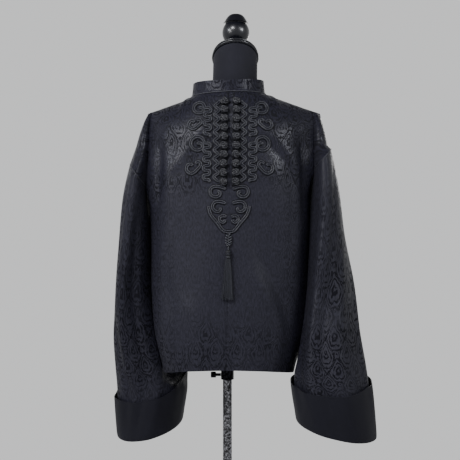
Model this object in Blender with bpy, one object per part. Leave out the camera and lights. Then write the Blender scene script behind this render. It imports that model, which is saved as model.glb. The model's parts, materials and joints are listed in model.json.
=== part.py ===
"""A tang jacket on a limbless dress form.

Metres, +Z up. The jacket's back faces -Y, its front +Y, and -X is its left side seen from behind.
The origin is on the floor under the middle of the stand's pole.
"""
import math
import random

import bmesh
import bpy
from mathutils import Vector
from mathutils.bvhtree import BVHTree

# ---------------------------------------------------------------- driving dimensions (metres)
CLOTH = 0.002            # wall of the jacquard
CUFF_CLOTH = 0.0018      # wall of the turned cuff
COLLAR_CLOTH = 0.003     # interfaced stand collar
SEAM_GAP = 0.0003        # between two pieces sewn together
LAID_GAP = 0.0009        # under what lies on a panel

LEFT, RIGHT = -1, 1      # sides, as seen from behind
BACK, FRONT = -1, 1      # faces, as signs of Y

# shoulders
SHOULDER_X = 0.016       # middle of the form's shoulders
SHOULDER_HALF = 0.206    # from there to each shoulder tip
SHOULDER_Z = 1.279       # height of the tips
SHOULDER_RISE = 0.33     # rise of the shoulder line per metre towards the neck

# neckline, a slanted loop
NECK_X = 0.003
NECK_HALF = 0.088
NECK_BACK = 0.075
NECK_FRONT = 0.078
NECK_Z = 1.320
NECK_TILT = 0.035        # the right side is higher
NECK_DIP = 0.058         # drop at the centre front

COLLAR_HEIGHT = 0.027    # at the centre back
COLLAR_SIDE_HEIGHT = 0.031
COLLAR_LEAN_IN = 0.003
COLLAR_OPENING = 0.003   # between the collar's ends at the centre front

YOKE_Z = 1.200           # below this the body is described by level sections
HEM_Z = 0.664
HEM_BACK_LIFT = 0.020    # the back hem is higher in the middle
CORNER = 2.5             # exponent of the body's rounded section

# the body's sections: height, half-widths left and right of the seam, depths to back and front
BODY = (
    # z,     left,  right, back,  front
    (1.200, 0.193, 0.193, 0.114, 0.100),
    (1.140, 0.193, 0.193, 0.121, 0.118),
    (1.060, 0.190, 0.194, 0.126, 0.130),
    (0.960, 0.184, 0.194, 0.129, 0.132),
    (0.860, 0.182, 0.195, 0.131, 0.133),
    (0.760, 0.173, 0.186, 0.132, 0.134),
    (0.660, 0.150, 0.160, 0.131, 0.135),
)

# dropped armhole: where the seam crosses the over-arm line, and how steeply it falls inwards
ARMHOLE = {
    # side: over-arm x, over-arm z, fall per metre inwards, half-depth
    LEFT: (-0.231, 1.158, 1.36, 0.095),
    RIGHT: (0.247, 1.194, 1.10, 0.095),
}
YOKE_ARM = {
    # side: outermost x at the yoke, half-width, half-depth of the arm's round there
    LEFT: (-0.217, 0.020, 0.060),
    RIGHT: (0.240, 0.023, 0.062),
}
YOKE_CREASE_ANGLE = math.radians(130)    # where the crease meets the arm's round at the yoke
SEAM_CREASE_ANGLE = math.radians(145)    # and at the armhole seam

# sleeve rings from the second one down: middle, half-width, half-depth, turn about the arm,
# rise per metre inwards and rise per metre towards the front
SLEEVE = {
    LEFT: (
        # x,      y,     z,     wide,  deep,  turn, inward, forward
        (-0.2125, 0.008, 1.050, 0.034, 0.098, 6, -0.70, 0.03),
        (-0.2105, 0.022, 0.955, 0.040, 0.101, 15, -0.30, 0.07),
        (-0.2080, 0.045, 0.855, 0.046, 0.101, 25, -0.05, 0.12),
        (-0.2010, 0.068, 0.760, 0.060, 0.098, 30, 0.05, 0.16),
        (-0.1920, 0.085, 0.685, 0.076, 0.092, 30, 0.12, 0.20),
        (-0.1880, 0.092, 0.611, 0.082, 0.084, 30, 0.16, 0.20),
        (-0.1930, 0.096, 0.515, 0.078, 0.082, 30, 0.22, 0.20),
    ),
    RIGHT: (
        (0.2310, -0.005, 1.075, 0.036, 0.098, -4, -0.60, 0.02),
        (0.2370, -0.015, 0.965, 0.043, 0.101, -12, -0.30, 0.05),
        (0.2430, -0.028, 0.865, 0.052, 0.101, -20, -0.05, 0.10),
        (0.2430, -0.052, 0.768, 0.063, 0.098, -26, 0.06, 0.15),
        (0.2420, -0.073, 0.695, 0.077, 0.092, -28, 0.12, 0.18),
        (0.2400, -0.084, 0.640, 0.087, 0.086, -28, 0.14, 0.16),
        (0.2490, -0.085, 0.553, 0.090, 0.085, -28, 0.18, 0.12),
    ),
}
SLEEVE_CLEAR = 0.004     # a sleeve hangs this far off the body
UNDERARM_CLEAR = 0.016   # more just under the arm, where the body's side bulges to the armhole
CUFF_CLEAR = 0.009       # more where the cuff stands off the sleeve
UNDERARM_FADE = 6.5      # the bulge fades within this share, one part in so many, of the side

# the turned cuff as a path over the sleeve's end: share of its height, below the end, off the sleeve
CUFF_PATH = (
    # up,   below,  off
    (1.00, 0.0000, 0.0080),
    (0.60, 0.0000, 0.0060),
    (0.24, 0.0000, 0.0040),
    (0.00, 0.0030, 0.0026),
    (0.00, 0.0068, -0.0010),
    (0.00, 0.0030, -0.0046),
    (0.24, 0.0000, -0.0050),
)
CUFF_HEIGHT = {
    # mean height, more on the outside of the arm, more at the back
    LEFT: (0.099, 0.000, -0.007),
    RIGHT: (0.102, 0.012, -0.017),
}

# corded trim on the back: two rows of ball knots, waved and scrolled bands beside and below them
BAND_WIDE = 0.0060
BAND_THICK = 0.0025
BAND_CROWN = 0.75        # width of a band's upper side, as a share
BAND_STEP = 0.0050
KNOT_ROWS = 10
KNOT_TOP = 1.294
KNOT_PITCH = 0.0206
KNOT_OUT = 0.0139        # from the seam to each row
KNOT_BALL_R = 0.0083
KNOT_FLAT = 0.82         # depth of a knot, as a share of its width
WAVES = {
    # band: middle, half-width of the wave, bottom, top, how far its limbs are drawn level
    "inner": (0.0303, 0.0048, 1.1085, 1.2965, 0.0),
    "top": (0.0515, 0.0075, 1.2116, 1.2837, 0.0020),
    "mid": (0.0515, 0.0075, 1.1086, 1.2013, 0.0020),
}
SCROLLS = {
    # band: start out from the seam, start height, heading in degrees, then arcs of length and turn;
    # a scroll named as a wave carries on from the wave's top
    "top": (0.0605, 1.2880, 50, ((0.014, -60), (0.046, -200), (0.022, -190))),
    "mid": (0.0605, 1.2055, 50, ((0.017, -60), (0.054, -200), (0.026, -190))),
    "top_hook": (0.0765, 1.2475, 110, ((0.020, 205), (0.014, 5), (0.030, 170), (0.014, 120))),
    "mid_hook": (0.0770, 1.1500, 110, ((0.022, 200), (0.017, 5), (0.034, 170), (0.014, 110))),
    "upper_curl": (0.008, 1.092, 30, ((0.024, -30), (0.038, -180), (0.010, -40), (0.014, -150))),
    "lower_curl": (0.008, 1.060, 25, ((0.018, -25), (0.038, -190), (0.012, -120))),
    "tip_curl": (0.006, 1.030, 25, ((0.008, -25), (0.026, -200), (0.007, -90))),
}
VEE = (0.0455, 1.0540, -90, ((0.030, -42), (0.028, 8), (0.014, -30)))
BRAID = (
    # z,     half-width
    (0.9890, 0.0030),
    (0.9850, 0.0085),
    (0.9810, 0.0060),
    (0.9765, 0.0088),
    (0.9720, 0.0060),
    (0.9680, 0.0080),
    (0.9640, 0.0030),
)
BRAID_THICK = 0.0045

# tassel: a bound head and strands that spread on the way down
TASSEL_HEAD = (
    # z,     half-width
    (0.9600, 0.0015),
    (0.9550, 0.0018),
    (0.9530, 0.0050),
    (0.9490, 0.0064),
    (0.9450, 0.0058),
    (0.9425, 0.0044),
    (0.9405, 0.0058),
    (0.9380, 0.0062),
)
TASSEL_SIDES = 12
STRAND_COLUMNS = 10
STRAND_ROWS = 4
STRAND_ROWS_Z = (0.900, 0.846)
STRAND_SPREAD = (0.0095, 0.0145)     # half-width of the whole skirt at those heights
STRAND_DEPTH = (0.0042, 0.0050)      # its half-depth
STRAND_SIZE = 0.62                   # a strand's width, as a share of its place
STRAND_UNEVEN = 0.004

# frog fastenings down the front opening
FROG_ROWS = 5
FROG_TOP = 1.236
FROG_PITCH = 0.108
FROG = (
    # out,   half-height, thick
    (0.0000, 0.0070, 0.0085),
    (0.0065, 0.0055, 0.0070),
    (0.0100, 0.0026, 0.0030),
    (0.0240, 0.0026, 0.0030),
    (0.0380, 0.0026, 0.0030),
    (0.0440, 0.0062, 0.0036),
    (0.0520, 0.0062, 0.0036),
    (0.0570, 0.0022, 0.0026),
)

# the largest folds, soft bells across a line: start, end, width and height, a minus is a trough
BODY_FOLDS = {
    BACK: (
        # out,    z,     out,    z,     width, height
        (0.034, 1.061, 0.138, 0.774, 0.070, -0.0050),
        (0.100, 1.160, 0.150, 0.900, 0.060, 0.0022),
        (-0.060, 1.150, -0.150, 0.800, 0.080, -0.0026),
        (0.070, 0.870, 0.060, 0.670, 0.080, 0.0040),
        (-0.080, 0.840, -0.060, 0.670, 0.080, 0.0030),
    ),
    FRONT: (
        (0.050, 1.110, 0.120, 0.840, 0.070, -0.0040),
        (-0.050, 1.090, -0.115, 0.820, 0.070, -0.0036),
        (0.090, 0.880, 0.080, 0.670, 0.080, 0.0034),
        (-0.090, 0.870, -0.075, 0.670, 0.080, 0.0034),
    ),
}
SLEEVE_FOLDS = {
    # along, angle in degrees (the back is 90), the same at the end, width and height
    LEFT: (
        (0.25, 110, 0.95, 100, 0.060, -0.0045),
        (0.40, 35, 0.98, 50, 0.060, 0.0030),
        (0.15, 290, 0.85, 300, 0.060, -0.0045),
    ),
    RIGHT: (
        (0.40, 75, 0.96, 68, 0.060, -0.0055),
        (0.30, 20, 0.97, 35, 0.060, 0.0030),
        (0.15, 290, 0.85, 300, 0.060, -0.0045),
    ),
}
SLEEVE_LONG = 0.62       # along the arm, for the folds
SLEEVE_ROUND = 0.088     # mean radius, for the folds
FOLD_REACH = 0.2         # how far a fold fades past its ends, as a share of its length
FOLD_BOW = 0.05          # how far its line bows, as a share of its length

# how finely the cloth is divided
NECK_COLUMNS = 5
RIDGE_COLUMNS = 5
ARM_COLUMNS = 8
SIDE_COLUMNS = 3
CAP_ROWS = 5
ARMHOLE_ROWS = 3
LOWER_ROWS = 7
SLEEVE_ROWS = 12

CREASE = NECK_COLUMNS + RIDGE_COLUMNS                 # column of the crease beside the arm
OVERARM = CREASE + ARM_COLUMNS                        # column of the over-arm line
ARMHOLE_ROW = CAP_ROWS + ARMHOLE_ROWS                 # row where the crease meets the armhole seam
HEM_ROW = ARMHOLE_ROW + LOWER_ROWS
BODY_EDGE = 0.86                                      # last column before the crease, as a share
COLUMN_SPREAD = 1.45                                  # columns stand closer towards the arm

# dress form
FORM_LEAN = 0.018        # sideways lean of the form, per metre up
FORM_OFFSET = 0.006      # at the socket
FORM_CLEAR = 0.0009      # between the form's shoulders and the cloth that rests on them
FORM_BOTTOM = 0.700
NECK_TOP = 1.4087        # slanted cut of the neck, at its middle
NECK_SLANT = -0.55       # its rise per metre towards the front
CAP_THICK = 0.011
CAP_HALF = 0.0551
FORM = (
    # z,    wide,  back,  front
    (0.700, 0.140, 0.088, 0.088),
    (0.760, 0.160, 0.108, 0.100),
    (0.860, 0.148, 0.095, 0.094),
    (0.930, 0.124, 0.078, 0.084),
    (1.000, 0.130, 0.084, 0.092),
    (1.060, 0.142, 0.092, 0.104),
    (1.110, 0.150, 0.098, 0.116),
    (1.160, 0.158, 0.100, 0.106),
    (1.200, 0.166, 0.094, 0.084),
    (1.240, 0.178, 0.076, 0.060),
)
FORM_SHOULDERS = (
    # half-width on the shoulder line, back, front
    (0.176, 0.024, 0.018),
    (0.158, 0.036, 0.028),
    (0.122, 0.042, 0.032),
)
NECK_RINGS = (
    # z,    wide,   back,  front
    (1.316, 0.0680, 0.046, 0.040),
    (1.334, 0.0565, 0.050, 0.046),
    (1.358, 0.0535, 0.052, 0.052),
)
NECK_WIDE = 0.0530
NECK_DEEP = 0.0520
BALL_Z = 1.4730
BALL_R = 0.0325
STEM_R = 0.014
BUTTON_Z = 1.4965
BUTTON_R = 0.0295
FINIAL_TOP = 1.5174
POLE_R = 0.0108
SOCKET_R = 0.0155
SOCKET_BOTTOM = 0.6424
KNOB_Z = 0.653
KNOB_R = 0.0072
SHANK_R = 0.0035
BASE_R = 0.18
BASE_EDGE = 0.012
BASE_TOP = 0.022
HUB_R = 0.024
HUB_TOP = 0.060


# ---------------------------------------------------------------- small helpers
def lerp(a, b, t):
    return a + (b - a) * t


def table(rows, key, column):
    """A column of a table at a key, along a smooth curve through its rows."""
    keys = [row[0] for row in rows]
    values = [row[column] for row in rows]
    if keys[0] > keys[-1]:
        keys.reverse()
        values.reverse()
    key = min(max(key, keys[0]), keys[-1])
    i = max(k for k in range(len(keys) - 1) if keys[k] <= key)
    t = (key - keys[i]) / (keys[i + 1] - keys[i])
    before = values[max(i - 1, 0)]
    after = values[min(i + 2, len(values) - 1)]
    return spline(before, values[i], values[i + 1], after, t)


def spline(p0, p1, p2, p3, t):
    """Catmull-Rom between p1 and p2."""
    a = 2 * p1
    b = (p2 - p0) * t
    c = (2 * p0 - 5 * p1 + 4 * p2 - p3) * t * t
    d = (3 * p1 - p0 - 3 * p2 + p3) * t ** 3
    return 0.5 * (a + b + c + d)


def smoothstep(t):
    t = min(max(t, 0.0), 1.0)
    return t * t * (3 - 2 * t)


def material(name, colour, roughness, metallic=0.0):
    found = bpy.data.materials.get(name)
    if found:
        return found
    made = bpy.data.materials.new(name)
    made.use_nodes = True
    shader = made.node_tree.nodes["Principled BSDF"]
    shader.inputs["Base Color"].default_value = (*colour, 1)
    shader.inputs["Roughness"].default_value = roughness
    shader.inputs["Metallic"].default_value = metallic
    return made


def jacquard():
    return material("jacquard", (0.020, 0.020, 0.026), 0.45)


def cuff_cloth():
    return material("cuff_cloth", (0.010, 0.010, 0.013), 0.7)


def cord_cloth():
    return material("cord", (0.006, 0.006, 0.007), 0.5)


def form_jersey():
    return material("form_jersey", (0.015, 0.015, 0.018), 0.9)


def black_wood():
    return material("black_wood", (0.008, 0.008, 0.009), 0.2)


def steel():
    return material("steel", (0.25, 0.25, 0.26), 0.4, 1.0)


def make(name, points, faces, look, sharp=40):
    """A named object from points and faces, with its faces pointing out."""
    mesh = bpy.data.meshes.new(name)
    mesh.from_pydata([tuple(p) for p in points], [], faces)
    work = bmesh.new()
    work.from_mesh(mesh)
    bmesh.ops.recalc_face_normals(work, faces=work.faces)
    work.to_mesh(mesh)
    work.free()
    mesh.materials.append(look)
    mesh.shade_smooth()
    mesh.set_sharp_from_angle(angle=math.radians(sharp))
    made = bpy.data.objects.new(name, mesh)
    bpy.context.collection.objects.link(made)
    return made


# ---------------------------------------------------------------- the cloth's surface
def seam_x(z):
    """The centre-back seam and the front opening lean a little."""
    return -0.0016 + (z - 0.690) * 0.0152


def body_point(side, face, z, share):
    """A point of the body's section: share is 0 at the seam and 1 at the side."""
    half = table(BODY, z, 1 if side == LEFT else 2)
    deep = table(BODY, z, 3 if face == BACK else 4)
    y = deep * max(0.0, 1 - share ** CORNER) ** (1 / CORNER)
    return Vector((seam_x(z) + side * half * share, face * y, z))


def column_share(column):
    """Where a column stands on the body's section."""
    last = CREASE - 1
    return BODY_EDGE * (1 - (1 - column / last) ** COLUMN_SPREAD)


def side_share(step):
    """Columns from the crease (step 0) to the side seam, evenly spaced in depth."""
    start = (1 - 0.93 ** CORNER) ** (1 / CORNER)
    deep = start * (1 - step / SIDE_COLUMNS)
    return (1 - deep ** CORNER) ** (1 / CORNER)


def neckline(side, face, turn):
    """The neckline loop: turn is 0 at the centre and 1 at the side of the neck."""
    angle = turn * math.pi / 2
    x = NECK_X + side * NECK_HALF * math.sin(angle)
    deep = NECK_BACK if face == BACK else NECK_FRONT
    dip = NECK_DIP * math.cos(angle) ** 2 if face == FRONT else 0
    return Vector((x, face * deep * math.cos(angle), NECK_Z + NECK_TILT * x - dip))


def shoulder_line(side, share):
    """The top of the shoulder: share is 0 at the neck and 1 at the shoulder tip."""
    start = NECK_X + side * NECK_HALF
    x = lerp(start, SHOULDER_X + side * SHOULDER_HALF, share)
    line = SHOULDER_Z + (SHOULDER_HALF - abs(x - SHOULDER_X)) * SHOULDER_RISE
    at_neck = NECK_Z + NECK_TILT * start
    return Vector((x, 0, lerp(at_neck, line, smoothstep(share * 6))))


def top_point(side, face, column):
    """The top edge of a front or back: the neckline, then the shoulder line."""
    if column <= NECK_COLUMNS:
        return neckline(side, face, column / NECK_COLUMNS)
    if column <= CREASE:
        return shoulder_line(side, 0.9 * (column - NECK_COLUMNS) / RIDGE_COLUMNS)
    return shoulder_line(side, lerp(0.9, 1.0, (column - CREASE) / ARM_COLUMNS))


def arm_angle(column, at_crease):
    """Angle round the arm: 0 on the over-arm line, at_crease in the crease."""
    return at_crease * (OVERARM - column) / ARM_COLUMNS


def armhole_size(side):
    """Middle, half-width and height of the armhole seam's loop."""
    outer, top, fall, deep = ARMHOLE[side]
    inner = body_point(side, BACK, top - 0.05, 1).x
    wide = abs(outer - inner) / 2
    return (outer + inner) / 2, wide, deep, top, fall


def armhole_point(side, angle):
    """The armhole seam: angle 0 over the arm, a quarter turn at its back, a half turn under it."""
    middle, wide, deep, top, fall = armhole_size(side)
    x = middle + side * wide * math.cos(angle)
    return Vector((x, -deep * math.sin(angle), top - fall * wide * (1 - math.cos(angle))))


def yoke_point(side, face, column):
    """The level section at the yoke, round the body and then round the arm."""
    if column < CREASE:
        return body_point(side, face, YOKE_Z, column_share(column))
    outer, wide, deep = YOKE_ARM[side]
    angle = arm_angle(column, YOKE_CREASE_ANGLE)
    x = outer - side * wide * (1 - math.cos(angle))
    return Vector((x, face * deep * math.sin(angle), YOKE_Z))


def bulge(column):
    """How round a column is between the shoulder and the yoke: 1 is straight, 2 a quarter round."""
    if column <= NECK_COLUMNS:
        return lerp(1.25, 1.9, column / NECK_COLUMNS)
    if column <= CREASE:
        return 1.9
    return lerp(1.9, 1.05, smoothstep((column - CREASE) / ARM_COLUMNS))


def panel_point(side, face, row, column):
    """A point of a front or back panel on its outer side."""
    if row <= CAP_ROWS:
        down = 1 - math.cos(row / CAP_ROWS * math.pi / 2)
        power = bulge(column)
        out = (1 - (1 - down) ** power) ** (1 / power)
        top, yoke = top_point(side, face, column), yoke_point(side, face, column)
        return Vector((lerp(top.x, yoke.x, out), lerp(top.y, yoke.y, out), lerp(top.z, yoke.z, down)))
    crease_z = armhole_point(side, SEAM_CREASE_ANGLE).z
    if row <= ARMHOLE_ROW:
        down = (row - CAP_ROWS) / ARMHOLE_ROWS
        if column < CREASE:
            return body_point(side, face, lerp(YOKE_Z, crease_z, down), column_share(column))
        return arm_point(side, face, down, column)
    down = (row - ARMHOLE_ROW) / LOWER_ROWS
    if column <= CREASE:
        share = side_share(0) if column == CREASE else column_share(column)
        return lower_point(side, face, down, share, crease_z, column == CREASE)
    share = side_share(column - CREASE)
    return lower_point(side, face, down, share, crease_z, True)


def arm_point(side, face, down, column):
    """Between the yoke and the armhole seam, on the arm's round."""
    outer, wide, deep = YOKE_ARM[side]
    middle, seam_wide, seam_deep, top, fall = armhole_size(side)
    yoke_angle = arm_angle(column, YOKE_CREASE_ANGLE)
    seam_angle = arm_angle(column, SEAM_CREASE_ANGLE)
    angle = lerp(yoke_angle, seam_angle, down)
    x = lerp(outer - side * wide, middle, down) + side * lerp(wide, seam_wide, down) * math.cos(angle)
    y = face * lerp(deep, seam_deep, down) * math.sin(angle)
    return Vector((x, y, lerp(YOKE_Z, armhole_point(side, seam_angle).z, down)))


def lower_point(side, face, down, share, crease_z, from_armhole):
    """Below the crease's end; columns at the side start on the armhole seam."""
    deep_share = (1 - share ** CORNER) ** (1 / CORNER)
    hem = HEM_Z + (HEM_BACK_LIFT * deep_share ** 2 if face == BACK else 0)
    start = crease_z
    if from_armhole:
        turn = side_turn(share)
        on_seam = armhole_point(side, turn)
        on_seam.y = -face * on_seam.y
        start = on_seam.z
    z = lerp(start, hem, down)
    point = body_point(side, face, z, share)
    if from_armhole:
        level = body_point(side, face, start, share)
        fade = 1 - smoothstep(down * UNDERARM_FADE)
        point += (on_seam - level) * fade
        point.z = z
    return point


def side_turn(share):
    """Angle on the armhole seam where a side column starts."""
    start = (1 - side_share(0) ** CORNER) ** (1 / CORNER)
    step = 1 - (1 - share ** CORNER) ** (1 / CORNER) / start
    return lerp(SEAM_CREASE_ANGLE, math.pi, min(max(step, 0), 1))


# ---------------------------------------------------------------- sleeves
def seam_ring(side):
    """Angles of the armhole seam's points, from the over-arm line over the back and round."""
    back = [arm_angle(column, SEAM_CREASE_ANGLE) for column in range(OVERARM, CREASE, -1)]
    back += [lerp(SEAM_CREASE_ANGLE, math.pi, step / SIDE_COLUMNS) for step in range(SIDE_COLUMNS)]
    front = [2 * math.pi - angle for angle in reversed(back[1:])]
    return back + [math.pi] + front


def sleeve_rows(side):
    """The sleeve's table with the armhole seam as its first row."""
    middle, wide, deep, top, fall = armhole_size(side)
    first = (middle, 0, top - fall * wide, wide, deep, 0, -fall, 0)
    return (first,) + SLEEVE[side]


def sleeve_values(side, along):
    """A row of the sleeve's table at any place: 0 is the armhole seam and 1 the lower end."""
    rows = sleeve_rows(side)
    place = along * (len(rows) - 1)
    i = min(int(place), len(rows) - 2)
    t = place - i
    before, after = rows[max(i - 1, 0)], rows[min(i + 2, len(rows) - 1)]
    return [spline(before[c], rows[i][c], rows[i + 1][c], after[c], t) for c in range(8)]


def off_body(point, along):
    """Moves a sleeve's point out until it is clear of the body's section at its height."""
    clear = SLEEVE_CLEAR + UNDERARM_CLEAR * (1 - smoothstep(along * 5))
    clear += CUFF_CLEAR * smoothstep((along - 0.5) * 4)
    side = LEFT if point.x < 0 else RIGHT
    face = BACK if point.y < 0 else FRONT
    half = table(BODY, point.z, 1 if side == LEFT else 2) + clear
    deep = table(BODY, point.z, 3 if face == BACK else 4) + clear
    x = abs(point.x - seam_x(point.z)) / half
    y = abs(point.y) / deep
    size = (x ** CORNER + y ** CORNER) ** (1 / CORNER)
    if size >= 1:
        return point
    moved = Vector((seam_x(point.z) + (point.x - seam_x(point.z)) / size, point.y / size, point.z))
    return point.lerp(moved, smoothstep((point.z - HEM_Z + 0.06) / 0.05))


def sleeve_point(side, along, angle):
    """A point of the sleeve's outer side, clear of the body."""
    x, y, z, wide, deep, turn, inward, forward = sleeve_values(side, along)
    turn = math.radians(turn)
    out = Vector((side * math.cos(turn), math.sin(turn), 0))
    back = Vector((side * math.sin(turn), -math.cos(turn), 0))
    arm = out * wide * math.cos(angle) + back * deep * math.sin(angle)
    point = Vector((x, y, z)) + arm
    point.z += -side * inward * arm.x + forward * arm.y
    return point.lerp(off_body(point, along), smoothstep(along * 14))


def ring_angles(side, along):
    """The seam's uneven angles even out within the first quarter of the sleeve."""
    seam = seam_ring(side)
    even = [2 * math.pi * i / len(seam) for i in range(len(seam))]
    share = smoothstep(along * 4)
    return [lerp(a, b, share) for a, b in zip(seam, even)]


# ---------------------------------------------------------------- cloth walls
class Cloth:
    """Outer points and faces of the whole body and both sleeves, each face on a named piece."""

    def __init__(self):
        self.points = []
        self.folds = []
        self.index = {}
        self.faces = []

    def point(self, key, place, fold=0.0):
        if key not in self.index:
            self.index[key] = len(self.points)
            self.points.append(place)
            self.folds.append(fold)
        return self.index[key]

    def face(self, piece, corners):
        """Adds a face, a four-sided one as two triangles along its outermost or shorter diagonal."""
        a, b, c, *rest = unique = list(dict.fromkeys(corners))
        if not rest:
            self.faces.append((piece, unique))
            return
        d = rest[0]
        pa, pb, pc, pd = (self.points[i] for i in (a, b, c, d))
        if piece.startswith("sleeve"):
            first = (pa - pc).length <= (pb - pd).length
        else:
            first = abs(pa.y + pc.y) >= abs(pb.y + pd.y)
        if first:
            self.faces += [(piece, [a, b, c]), (piece, [a, c, d])]
        else:
            self.faces += [(piece, [a, b, d]), (piece, [b, c, d])]


def panel_key(side, face, row, column):
    """Points that two pieces share have one key."""
    if column == 0:
        return ("centre", face, row)
    if row == 0 and column >= NECK_COLUMNS:
        return ("shoulder", side, column)
    if column == OVERARM:
        return ("overarm", side, row)
    if row == ARMHOLE_ROW and column > CREASE + SIDE_COLUMNS:
        return ("armhole", side, face, column)
    return (side, face, row, column)


def add_panel(cloth, side, face):
    piece = ("back_" if face == BACK else "front_") + ("left" if side == LEFT else "right")

    def corner(row, column, lower=False):
        if row == ARMHOLE_ROW and column > CREASE:
            return seam_corner(cloth, side, face, column, lower)
        if row == ARMHOLE_ROW and column == CREASE:
            return seam_corner(cloth, side, face, column, False)
        if lower and column == CREASE + SIDE_COLUMNS:
            key = ("side_seam", side, row)
        else:
            key = panel_key(side, face, row, column) + (("lower",) if lower and column > CREASE else ())
        place = panel_point(side, face, row, column)
        return cloth.point(key, place, panel_fold(face, row, column, lower, place))

    for row in range(ARMHOLE_ROW):
        for column in range(OVERARM):
            cloth.face(piece, [corner(row, column), corner(row, column + 1),
                               corner(row + 1, column + 1), corner(row + 1, column)])
    for row in range(ARMHOLE_ROW, HEM_ROW):
        for column in range(CREASE + SIDE_COLUMNS):
            cloth.face(piece, [corner(row, column, True), corner(row, column + 1, True),
                               corner(row + 1, column + 1, True), corner(row + 1, column, True)])


def seam_corner(cloth, side, face, column, lower):
    """A point of the armhole seam, shared by the panels and the sleeve."""
    if lower:
        angle = lerp(SEAM_CREASE_ANGLE, math.pi, (column - CREASE) / SIDE_COLUMNS)
    else:
        angle = arm_angle(column, SEAM_CREASE_ANGLE)
    return armhole_corner(cloth, side, angle if face == BACK else 2 * math.pi - angle)


def armhole_corner(cloth, side, angle):
    key = ("armhole", side, round(math.degrees(angle)) % 360)
    return cloth.point(key, armhole_point(side, angle))


def add_sleeve(cloth, side):
    piece = "sleeve_left" if side == LEFT else "sleeve_right"
    rings = []
    for row in range(SLEEVE_ROWS + 1):
        along = row / SLEEVE_ROWS
        angles = ring_angles(side, along)
        if row == 0:
            rings.append([armhole_corner(cloth, side, angle) for angle in angles])
        else:
            rings.append([cloth.point((piece, row, i), sleeve_point(side, along, angle),
                                      sleeve_fold(side, along, angle)) for i, angle in enumerate(angles)])
    for upper, lower in zip(rings, rings[1:]):
        for i in range(len(upper)):
            j = (i + 1) % len(upper)
            cloth.face(piece, [upper[i], upper[j], lower[j], lower[i]])


def orient(cloth):
    """Turns every face outwards."""
    work = bmesh.new()
    verts = [work.verts.new(p) for p in cloth.points]
    made = [work.faces.new([verts[i] for i in corners]) for _, corners in cloth.faces]
    bmesh.ops.recalc_face_normals(work, faces=made)
    work.verts.index_update()
    first = made[0].normal
    turned = [[v.index for v in face.verts] for face in made]
    if first.z < 0:
        turned = [corners[::-1] for corners in turned]
    cloth.faces = [(piece, corners) for (piece, _), corners in zip(cloth.faces, turned)]
    work.free()


def point_normals(cloth):
    """Outward normals of the points, the same for every piece that meets there."""
    normals = [Vector() for _ in cloth.points]
    for _, corners in cloth.faces:
        normal = polygon_normal([cloth.points[i] for i in corners])
        for i in corners:
            normals[i] += normal
    for side in (LEFT, RIGHT):
        under_arm_normals(cloth, normals, side)
    return [n.normalized() for n in normals]


def under_arm_normals(cloth, normals, side):
    """Under the arm the cloth turns back on itself, so its outer side there faces down."""
    for face in (BACK, FRONT):
        for step in range(SIDE_COLUMNS + 1):
            angle = lerp(SEAM_CREASE_ANGLE, math.pi, step / SIDE_COLUMNS)
            angle = angle if face == BACK else 2 * math.pi - angle
            along = (armhole_point(side, angle + 0.1) - armhole_point(side, angle - 0.1)).normalized()
            down = Vector((0, 0, -1))
            i = cloth.index[("armhole", side, round(math.degrees(angle)) % 360)]
            normals[i] = down - along * down.dot(along)


def fold_height(folds, a, b):
    """Sum of the folds at a place: each is a soft bell across its line, faded at its ends."""
    total = 0.0
    for a0, b0, a1, b1, width, height in folds:
        da, db = a1 - a0, b1 - b0
        long = math.hypot(da, db)
        t = ((a - a0) * da + (b - b0) * db) / (long * long)
        bow = FOLD_BOW * long * math.sin(math.pi * min(max(t, 0), 1))
        off = ((a - a0) * db - (b - b0) * da) / long + bow
        ends = smoothstep((t + FOLD_REACH) / (2 * FOLD_REACH)) * smoothstep((1 + FOLD_REACH - t) / (2 * FOLD_REACH))
        total += height * math.exp(-(off / (width / 2)) ** 2) * ends
    return total


def panel_fold(face, row, column, lower, p):
    """Fold height on a front or back, fading towards its sewn edges."""
    fade = smoothstep(row / CAP_ROWS * 1.6)
    if lower:
        fade *= smoothstep((CREASE + SIDE_COLUMNS - column) / SIDE_COLUMNS)
    else:
        fade *= smoothstep((OVERARM - column) / (ARM_COLUMNS * 0.6))
    if column >= CREASE:
        near = (row - ARMHOLE_ROW) / (LOWER_ROWS * 0.3) if lower else (ARMHOLE_ROW - row) / ARMHOLE_ROWS
        fade *= smoothstep(near)
    return fade * fold_height(BODY_FOLDS[face], p.x - seam_x(p.z), p.z)


def sleeve_fold(side, along, angle):
    folds = [(a0 * SLEEVE_LONG, math.radians(g0) * SLEEVE_ROUND, a1 * SLEEVE_LONG,
              math.radians(g1) * SLEEVE_ROUND, width, height)
             for a0, g0, a1, g1, width, height in SLEEVE_FOLDS[side]]
    return smoothstep(along * 8) * fold_height(folds, along * SLEEVE_LONG, angle * SLEEVE_ROUND)


def polygon_normal(points):
    total = Vector()
    for a, b in zip(points, points[1:] + points[:1]):
        total += a.cross(b)
    return total.normalized()


def wall(name, points, normals, faces, thick, look):
    """A closed wall: the faces' outer side, the same faces moved in, and a rim round its edges."""
    used = sorted({i for corners in faces for i in corners})
    place = {old: new for new, old in enumerate(used)}
    outer = [points[i].copy() for i in used]
    pull_edges(outer, [normals[i] for i in used], [[place[i] for i in f] for f in faces])
    inner = [p - normals[i] * thick for p, i in zip(outer, used)]
    count = len(used)
    solid = [[place[i] for i in corners] for corners in faces]
    back = [[i + count for i in reversed(corners)] for corners in solid]
    rim = []
    for a, b in open_edges(solid):
        low, high = min(a, b), max(a, b)
        rim += [[low, high, high + count], [low, high + count, low + count]]
    return make(name, outer + inner, solid + back + rim, look)


def open_edges(faces):
    """Edges with a face on one side only, in that face's own direction."""
    edges = {(a, b) for corners in faces for a, b in zip(corners, corners[1:] + corners[:1])}
    return [(a, b) for a, b in edges if (b, a) not in edges]


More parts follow.
